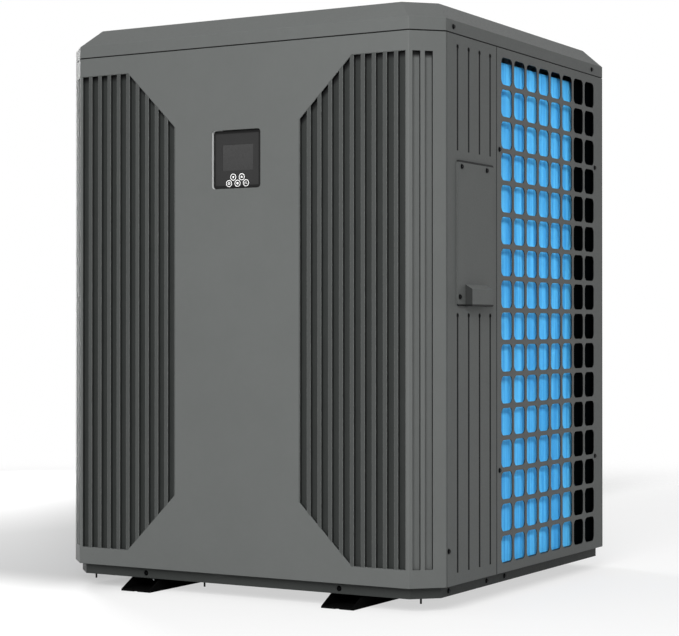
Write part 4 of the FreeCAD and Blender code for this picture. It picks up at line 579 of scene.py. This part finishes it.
class FinishBase(bpy.types.Operator):
    """Coats of the pan, rails and fan guard, and the black plastic fittings"""
    bl_idname = "heatpump.base"
    bl_label = "Base"

    def execute(self, context):
        look = context.scene.heat_pump.cabinet
        dress(powder_coat("powder_coat_dark", look.base, linear("#292b2a"), linear("#454746"), 0.6)[0],
              "base_pan")
        dress(powder_coat("powder_coat_black", look.black, linear("#030303"), linear("#0c0c0c"), 0.8,
                          shine=0.03)[0],
              "foot_rail_left", "foot_rail_right", "pan_pins", "fan_guard")
        dress(moulded_plastic("polyamide_black", linear("#17181a"), linear("#101112"), 0.45),
              "drain_spigot", "cable_gland", "terminal_block", "compressor_terminal_cover", "flow_switch")
        return {"FINISHED"}


class FinishFrame(bpy.types.Operator):
    """Galvanised posts, decks and plates, and the rear posts behind the grilles, whose near-black coat is
    painted shade
    """
    bl_idname = "heatpump.frame"
    bl_label = "Inner frame"

    def execute(self, context):
        dress(galvanised_steel("galvanised_steel", linear("#c3c7c9"), linear("#94999c")),
              "top_frame", "post_front_left", "post_front_right", "post_middle_left", "post_middle_right",
              "partition", "fan_deck", "electric_box", "coil_end_plates", "motor_bracket")
        # the rear posts are coated near black without shine; the black is painted shade at the coil's bends
        # behind the grilles
        dress(powder_coat("painted_shade_charcoal_coat", linear("#05080a"), linear("#030506"),
                          linear("#2a3033"), 0.8, shine=0.0)[0], "post_rear_left", "post_rear_right")
        return {"FINISHED"}


class FinishFasteners(bpy.types.Operator):
    """Black oxide casing screws and zinc plated bolts, nut and shaft"""
    bl_idname = "heatpump.fasteners"
    bl_label = "Fasteners"

    def execute(self, context):
        dress(bare_metal("black_oxide_steel", linear("#121314"), linear("#070708"), 0.45),
              "casing_screws", "lid_screws")
        dress(bare_metal("zinc_plated_steel", linear("#c9ccce"), linear("#9fa3a6"), 0.32),
              "base_bolts", "motor_bolts", "fan_nut", "motor_shaft")
        return {"FINISHED"}


class FinishFan(bpy.types.Operator):
    """Moulded fan, and black enamel on the motor, compressor and accumulator"""
    bl_idname = "heatpump.fan"
    bl_label = "Fan and motor"

    def execute(self, context):
        dress(moulded_plastic("glass_filled_polypropylene_black", linear("#1d1e20"), linear("#131415"),
                              0.4),
              "fan")
        dress(powder_coat("enamel_black", linear("#161718"), linear("#0e0f10"), linear("#303132"), 0.35)[0],
              "fan_motor", "compressor", "accumulator")
        return {"FINISHED"}


def coil_station(along, look):
    """Place and outward direction on the middle line of the U-shaped coil."""
    reach = COIL_BOX[1].x - look.depth / 2
    back = COIL_BOX[1].y - look.depth / 2
    radius = look.bend - look.depth / 2
    leg = back - radius - COIL_BOX[0].y
    arc = radius * math.pi / 2
    span = 2 * (reach - radius)
    if along > leg + arc + span / 2:
        place, out = coil_station(2 * (leg + arc) + span - along, look)
        return Vector((-place.x, place.y, 0)), Vector((-out.x, out.y, 0))
    if along <= leg:
        return Vector((reach, COIL_BOX[0].y + along, 0)), Vector((1, 0, 0))
    if along <= leg + arc:
        turn = (along - leg) / radius
        out = Vector((math.cos(turn), math.sin(turn), 0))
        return Vector((reach - radius, back - radius, 0)) + out * radius, out
    return Vector((reach - radius - (along - leg - arc), back, 0)), Vector((0, 1, 0))


def coil_length(look):
    radius = look.bend - look.depth / 2
    leg = COIL_BOX[1].y - look.depth / 2 - radius - COIL_BOX[0].y
    return 2 * leg + math.pi * radius + 2 * (COIL_BOX[1].x - look.depth / 2 - radius)


def waved_fins(look):
    """Closed sheets with flat-sided waves, set across the coil one after another."""
    fins = bmesh.new()
    count = int(coil_length(look) / look.fin_pitch)
    margin = (coil_length(look) - count * look.fin_pitch) / 2 + look.fin_pitch / 2
    for i in range(count):
        place, out = coil_station(margin + i * look.fin_pitch, look)
        side = Vector((-out.y, out.x, 0))
        rows = []
        for w in range(FIN_WAVES + 1):
            across = (w / FIN_WAVES - 0.5) * look.depth
            lift = look.fin_wave / 2 * (1 if w % 2 else -1)
            rows.append([place + out * across + side * (lift + k * look.fin_thickness / 2)
                         for k in (-1, 1)])
        floor = [[fins.verts.new((p.x, p.y, COIL_BOX[0].z)) for p in row] for row in rows]
        roof = [[fins.verts.new((p.x, p.y, COIL_BOX[1].z)) for p in row] for row in rows]
        for w in range(FIN_WAVES):
            fins.faces.new((floor[w][0], floor[w + 1][0], roof[w + 1][0], roof[w][0]))
            fins.faces.new((floor[w + 1][1], floor[w][1], roof[w][1], roof[w + 1][1]))
            fins.faces.new((roof[w][0], roof[w + 1][0], roof[w + 1][1], roof[w][1]))
            fins.faces.new((floor[w][1], floor[w + 1][1], floor[w + 1][0], floor[w][0]))
        for w in (0, FIN_WAVES):
            fins.faces.new((floor[w][1], floor[w][0], roof[w][0], roof[w][1]))
    return fins


def coil_tubes(look):
    """Level tubes with closed ends, one above another, along the whole coil."""
    tubes = bmesh.new()
    stations = [coil_station(coil_length(look) * k / TUBE_STEPS, look) for k in range(TUBE_STEPS + 1)]
    radius = look.tube / 2
    height = COIL_BOX[0].z + look.tube_pitch
    while height + look.tube < COIL_BOX[1].z:
        last = None
        for place, out in stations:
            ring = []
            for k in range(TUBE_SIDES):
                turn = 2 * math.pi * k / TUBE_SIDES
                middle = place + out * (radius * math.cos(turn))
                ring.append(tubes.verts.new(middle + Vector((0, 0, height + radius * math.sin(turn)))))
            if last is None:
                tubes.faces.new(ring)
            else:
                for k in range(TUBE_SIDES):
                    tubes.faces.new((last[k], last[k - 1], ring[k - 1], ring[k])).smooth = True
            last = ring
        tubes.faces.new(last)
        height += look.tube_pitch
    return tubes


class BuildFins(bpy.types.Operator):
    """Waved fins and the copper tubes through them, in place of the solid coil"""
    bl_idname = "heatpump.fins"
    bl_label = "Finned coil"

    def execute(self, context):
        look = context.scene.heat_pump.coil
        blue = coated_fins("epoxy_blue_aluminium_fins", look.fin_colour, look.fin_shade)
        piece = mesh_piece("coil_fins", waved_fins(look), blue, "cabinet")
        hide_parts("evaporator")
        copper = bare_metal("drawn_copper", linear("#b8714c"), linear("#8f5136"), 0.28)
        mesh_piece("coil_tubes", coil_tubes(look), copper, "cabinet")
        dress(copper, "return_bends", "refrigerant_pipes")
        return {"FINISHED"}


class FinishRefrigerant(bpy.types.Operator):
    """Brass valves and rubber compressor mounts"""
    bl_idname = "heatpump.refrigerant"
    bl_label = "Refrigerant parts"

    def execute(self, context):
        dress(bare_metal("turned_brass", linear("#c8a35a"), linear("#a17c3c"), 0.3),
              "four_way_valve", "expansion_valve")
        dress(moulded_plastic("rubber_black", linear("#1a1a1a"), linear("#121212"), 0.75, 2.5, 0.1),
              "compressor_feet")
        return {"FINISHED"}


class FinishWater(bpy.types.Operator):
    """Pipe plastic on the heat exchanger, unions and hand nuts"""
    bl_idname = "heatpump.water"
    bl_label = "Water side"

    def execute(self, context):
        grey = moulded_plastic("pipe_plastic_grey", linear("#56595c"), linear("#4d5053"), 0.35, 2.0)
        dress(grey, "inlet_union", "outlet_union", "heat_exchanger")
        dark = moulded_plastic("pipe_plastic_charcoal", linear("#33363a"), linear("#2b2e31"), 0.4, 1.8)
        dress(dark, "inlet_union_nut", "outlet_union_nut")
        return {"FINISHED"}


class FinishController(bpy.types.Operator):
    """Textured housing and keys, lens and boards"""
    bl_idname = "heatpump.controller"
    bl_label = "Controller"

    def execute(self, context):
        look = context.scene.heat_pump.keys
        dress(bordered_plastic("textured_plastic_dark", look.housing, linear("#1f1f1f"),
                               linear("#060606"), 0.6),
              "display_housing", "button_down", "button_up", "button_power", "button_mode", "button_timer")
        dress(display_lens("hard_coated_lens", look.lens, linear("#2b2b2b")), "display_window")
        dress(circuit_board("solder_mask_green", linear("#1f5a34"), linear("#3f8a56")),
              "controller_board", "control_board")
        return {"FINISHED"}


def ink_line(shape, points, width, centre, face, height, closed=False):
    """Flat printed line through points given in millimetres on the key's face. It starts just
    inside the key and stands off its face by height."""
    places = [Vector((x * MM, 0, z * MM)) for x, z in points]
    count = len(places)
    rows = []
    for i, place in enumerate(places):
        before = places[i - 1] if i or closed else place
        after = places[(i + 1) % count] if i + 1 < count or closed else place
        way = (after - before).normalized()
        side = Vector((-way.z, 0, way.x)) * width / 2
        rows.append([place + side, place - side])
    lids = []
    for y in (face - height, face + 0.1 * MM):
        lids.append([[shape.verts.new((centre.x + p.x, y, centre.z + p.z)) for p in row] for row in rows])
    steps = count if closed else count - 1
    for i in range(steps):
        j = (i + 1) % count
        for lid in lids:
            shape.faces.new((lid[i][0], lid[j][0], lid[j][1], lid[i][1]))
        for k in (0, 1):
            shape.faces.new((lids[0][i][k], lids[1][i][k], lids[1][j][k], lids[0][j][k]))
    for i in () if closed else (0, count - 1):
        shape.faces.new((lids[0][i][0], lids[0][i][1], lids[1][i][1], lids[1][i][0]))


def ink_patch(shape, points, centre, face, height):
    """Solid printed shape with its corners given in millimetres on the key's face."""
    lids = [[shape.verts.new((centre.x + x * MM, y, centre.z + z * MM)) for x, z in points]
            for y in (face - height, face + 0.1 * MM)]
    for lid in lids:
        shape.faces.new(lid)
    for i in range(len(points)):
        shape.faces.new((lids[0][i - 1], lids[0][i], lids[1][i], lids[1][i - 1]))


def arc_points(radius, start, end, steps):
    """Points on an arc about the key's middle, with its two angles in degrees."""
    turns = [math.radians(start + (end - start) * i / steps) for i in range(steps + 1)]
    return [(radius * math.cos(t), radius * math.sin(t)) for t in turns]


KEYS = ("button_down", "button_up", "button_power", "button_mode", "button_timer")
KEY_PATCHES = {
    "button_down": [(-2.3, 1.3), (2.3, 1.3), (0.0, -2.3)],
    "button_up": [(2.3, -1.3), (-2.3, -1.3), (0.0, 2.3)],
    "button_mode": arc_points(2.1, 0, 300, 5),
}
KEY_STROKES = {
    "button_power": [arc_points(1.9, 125, 415, 20), [(0.0, 0.5), (0.0, 2.9)]],
    "button_timer": [[(0.0, 2.6), (0.0, -0.2), (1.8, -1.6)], [(-2.2, 1.4), (-2.2, -1.8)]],
}


class BuildKeyPrint(bpy.types.Operator):
    """Printed ring and sign on each key"""
    bl_idname = "heatpump.key_print"
    bl_label = "Key print"

    def execute(self, context):
        look = context.scene.heat_pump.keys
        ink = pad_print("pad_print_white", look.ink, linear("#f4f4f2"))
        ring = arc_points((look.ring - look.line / 2) / MM, 0, 360, 40)[:-1]
        for key in KEYS:
            low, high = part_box(key)
            centre = (low + high) / 2
            shape = bmesh.new()
            ink_line(shape, ring, look.line, centre, low.y, look.ink_height, True)
            if key in KEY_PATCHES:
                ink_patch(shape, KEY_PATCHES[key], centre, low.y, look.ink_height)
            for stroke in KEY_STROKES.get(key, ()):
                ink_line(shape, stroke, look.line * 0.85, centre, low.y, look.ink_height)
            mesh_piece(key + "_print", shape, ink, key + "_key")
        return {"FINISHED"}


def floor_shade(tree, where):
    """Socket that rises to 1 in the soft shade painted on the floor beside and behind the
    object's left, as if lit by one large panel at the right."""
    at = add_node(tree, "ShaderNodeSeparateXYZ", {0: where}).outputs
    behind = add_node(tree, "ShaderNodeMapRange", {0: at["Y"], 1: -0.53, 2: -0.24},
                      interpolation_type="SMOOTHSTEP").outputs[0]
    leftward = add_node(tree, "ShaderNodeMapRange", {0: at["X"], 1: -0.15, 2: -0.42, 3: 0.0, 4: 1.0},
                        interpolation_type="SMOOTHSTEP").outputs[0]
    off = add_node(tree, "ShaderNodeVectorMath", {0: where}, operation="LENGTH").outputs["Value"]
    near = add_node(tree, "ShaderNodeMapRange", {0: off, 1: 1.0, 2: 3.2, 3: 1.0, 4: 0.0}).outputs[0]
    corner = add_node(tree, "ShaderNodeMath", {0: behind, 1: leftward}, operation="MULTIPLY").outputs[0]
    return add_node(tree, "ShaderNodeMath", {0: corner, 1: near}, operation="MULTIPLY").outputs[0]


def lacquered_board(look):
    """Pale lacquered board for the floor. It gives a faint unevenness, and clears away far from
    the object. The camera sees it paled towards the white backdrop, which leaves light shadows."""
    material, tree, shader, where = new_material("studio_floor", roughness=0.7)
    wash = add_node(tree, "ShaderNodeTexNoise", {"Vector": where, "Scale": per_mm(400), "Detail": 3.0})
    tone = add_node(tree, "ShaderNodeMix", {0: wash.outputs[0], 6: linear("#f2f2f2"), 7: look.floor},
                    data_type="RGBA")
    tree.links.new(tone.outputs[2], shader.inputs["Base Color"])
    dim = floor_shade(tree, where)
    paint(tree, shader, dim, linear(SHADE_TONE))
    glow = add_node(tree, "ShaderNodeMix", {0: dim, 6: linear("#ffffff"), 7: linear(SHADE_TONE)},
                    data_type="RGBA")
    pale = add_node(tree, "ShaderNodeEmission", {"Color": glow.outputs[2]}).outputs[0]
    seen = add_node(tree, "ShaderNodeLightPath").outputs["Is Camera Ray"]
    lift = add_node(tree, "ShaderNodeMath", {0: seen, 1: look.lift}, operation="MULTIPLY").outputs[0]
    paled = add_node(tree, "ShaderNodeMixShader", {0: lift, 1: shader.outputs[0], 2: pale}).outputs[0]
    away = add_node(tree, "ShaderNodeVectorMath", {0: where}, operation="LENGTH").outputs["Value"]
    fade = add_node(tree, "ShaderNodeMapRange", {0: away, 1: 1.2, 2: 3.2, 3: 0.0, 4: 1.0},
                    interpolation_type="SMOOTHSTEP").outputs[0]
    clear = add_node(tree, "ShaderNodeBsdfTransparent").outputs[0]
    mixed = add_node(tree, "ShaderNodeMixShader", {0: fade, 1: paled, 2: clear}).outputs[0]
    tree.links.new(mixed, tree.nodes["Material Output"].inputs["Surface"])
    return material


def place_floor(scene, material):
    """Flat floor a hair under the feet."""
    slab = bmesh.new()
    bmesh.ops.create_grid(slab, x_segments=8, y_segments=8, size=5.0)
    mesh = bpy.data.meshes.new("floor")
    slab.to_mesh(mesh)
    slab.free()
    mesh.materials.append(material)
    floor = bpy.data.objects.new("floor", mesh)
    floor.location.z = -0.3 * MM
    scene.collection.objects.link(floor)


def even_surroundings(scene, ambient):
    """Even soft light on the object, and a full white backdrop for what sees past it."""
    world = bpy.data.worlds.new("studio")
    scene.world = world
    world.use_nodes = True
    sky = world.node_tree
    ground = sky.nodes["Background"]
    ground.inputs["Color"].default_value = linear("#ffffff")
    ground.inputs["Strength"].default_value = ambient
    white = add_node(sky, "ShaderNodeBackground", {"Color": linear("#ffffff"), "Strength": 1.0})
    ray = add_node(sky, "ShaderNodeLightPath").outputs
    past = ray["Is Camera Ray"]
    for kind in ("Is Glossy Ray", "Is Transmission Ray"):
        past = add_node(sky, "ShaderNodeMath", {0: past, 1: ray[kind]}, operation="MAXIMUM").outputs[0]
    either = add_node(sky, "ShaderNodeMixShader", {0: past, 1: ground.outputs[0], 2: white.outputs[0]})
    sky.links.new(either.outputs[0], sky.nodes["World Output"].inputs["Surface"])


def place_lamp(scene, name, place, size, height, power):
    """Rectangular lamp that points at the middle of the object."""
    light = bpy.data.lights.new(name, "AREA")
    light.shape = "RECTANGLE"
    light.size, light.size_y, light.energy = size, height, power
    lamp = bpy.data.objects.new(name, light)
    lamp.location = place
    lamp.rotation_euler = (LAMP_TARGET - Vector(place)).to_track_quat("-Z", "Y").to_euler()
    scene.collection.objects.link(lamp)
    return lamp


def place_camera(scene):
    """Camera low at the object's right front, and made the scene's own."""
    view = bpy.data.cameras.new("camera")
    view.lens, view.sensor_width = CAMERA_LENS, 36.0
    view.clip_start, view.clip_end = 0.05, 60.0
    camera = bpy.data.objects.new("camera", view)
    camera.location = CAMERA_PLACE
    camera.rotation_euler = Vector(CAMERA_AHEAD).to_track_quat("-Z", "Y").to_euler()
    scene.collection.objects.link(camera)
    scene.camera = camera


class BuildStage(bpy.types.Operator):
    """Floor, lamps, surroundings and camera"""
    bl_idname = "heatpump.stage"
    bl_label = "Stage"

    def execute(self, context):
        scene = context.scene
        look = scene.heat_pump.stage
        place_floor(scene, lacquered_board(look))
        even_surroundings(scene, look.ambient)
        place_lamp(scene, "key_lamp", (1.2, -3.55, 2.3), 2.2, 2.2, look.key_power)
        place_lamp(scene, "rim_lamp", (-2.2, 1.35, 0.8), 0.7, 2.0, look.rim_power)
        # this lamp reaches only the fins, and makes up for the light that the grille keeps out
        coil_lamp = place_lamp(scene, "coil_lamp", (2.2, -3.0, 1.37), 0.5, 0.5, look.coil_power)
        lit = bpy.data.collections.new("lit_by_coil_lamp")
        lit.objects.link(bpy.data.objects["coil_fins"])
        coil_lamp.light_linking.receiver_collection = lit
        place_camera(scene)
        scene.view_settings.view_transform = "Standard"
        return {"FINISHED"}


STEPS = (FinishCasing, FinishBase, FinishFrame, FinishFasteners, FinishFan, BuildFins, FinishRefrigerant,
         FinishWater, FinishController, BuildKeyPrint, BuildStage)


class HeatPumpPanel(bpy.types.Panel):
    """Lists the steps of the finish and their settings"""
    bl_idname = "VIEW3D_PT_heat_pump"
    bl_label = "Heat pump"
    bl_space_type = "VIEW_3D"
    bl_region_type = "UI"
    bl_category = "Heat pump"

    def draw(self, context):
        for step in STEPS:
            self.layout.operator(step.bl_idname)
        settings = context.scene.heat_pump
        for group in (settings.cabinet, settings.coil, settings.keys, settings.stage):
            column = self.layout.box().column()
            for name in group.bl_rna.properties.keys():
                if name not in ("rna_type", "name"):
                    column.prop(group, name)


CLASSES = (CabinetFinish, CoilFinish, KeyFinish, StageLook, HeatPumpSettings, *STEPS, HeatPumpPanel)


def register():
    for kind in CLASSES:
        bpy.utils.register_class(kind)
    bpy.types.Scene.heat_pump = PointerProperty(type=HeatPumpSettings)


def unregister():
    del bpy.types.Scene.heat_pump
    for kind in reversed(CLASSES):
        bpy.utils.unregister_class(kind)


def main():
    register()
    for step in STEPS:
        group, action = step.bl_idname.split(".")
        getattr(getattr(bpy.ops, group), action)()


if __name__ == "__main__":
    main()
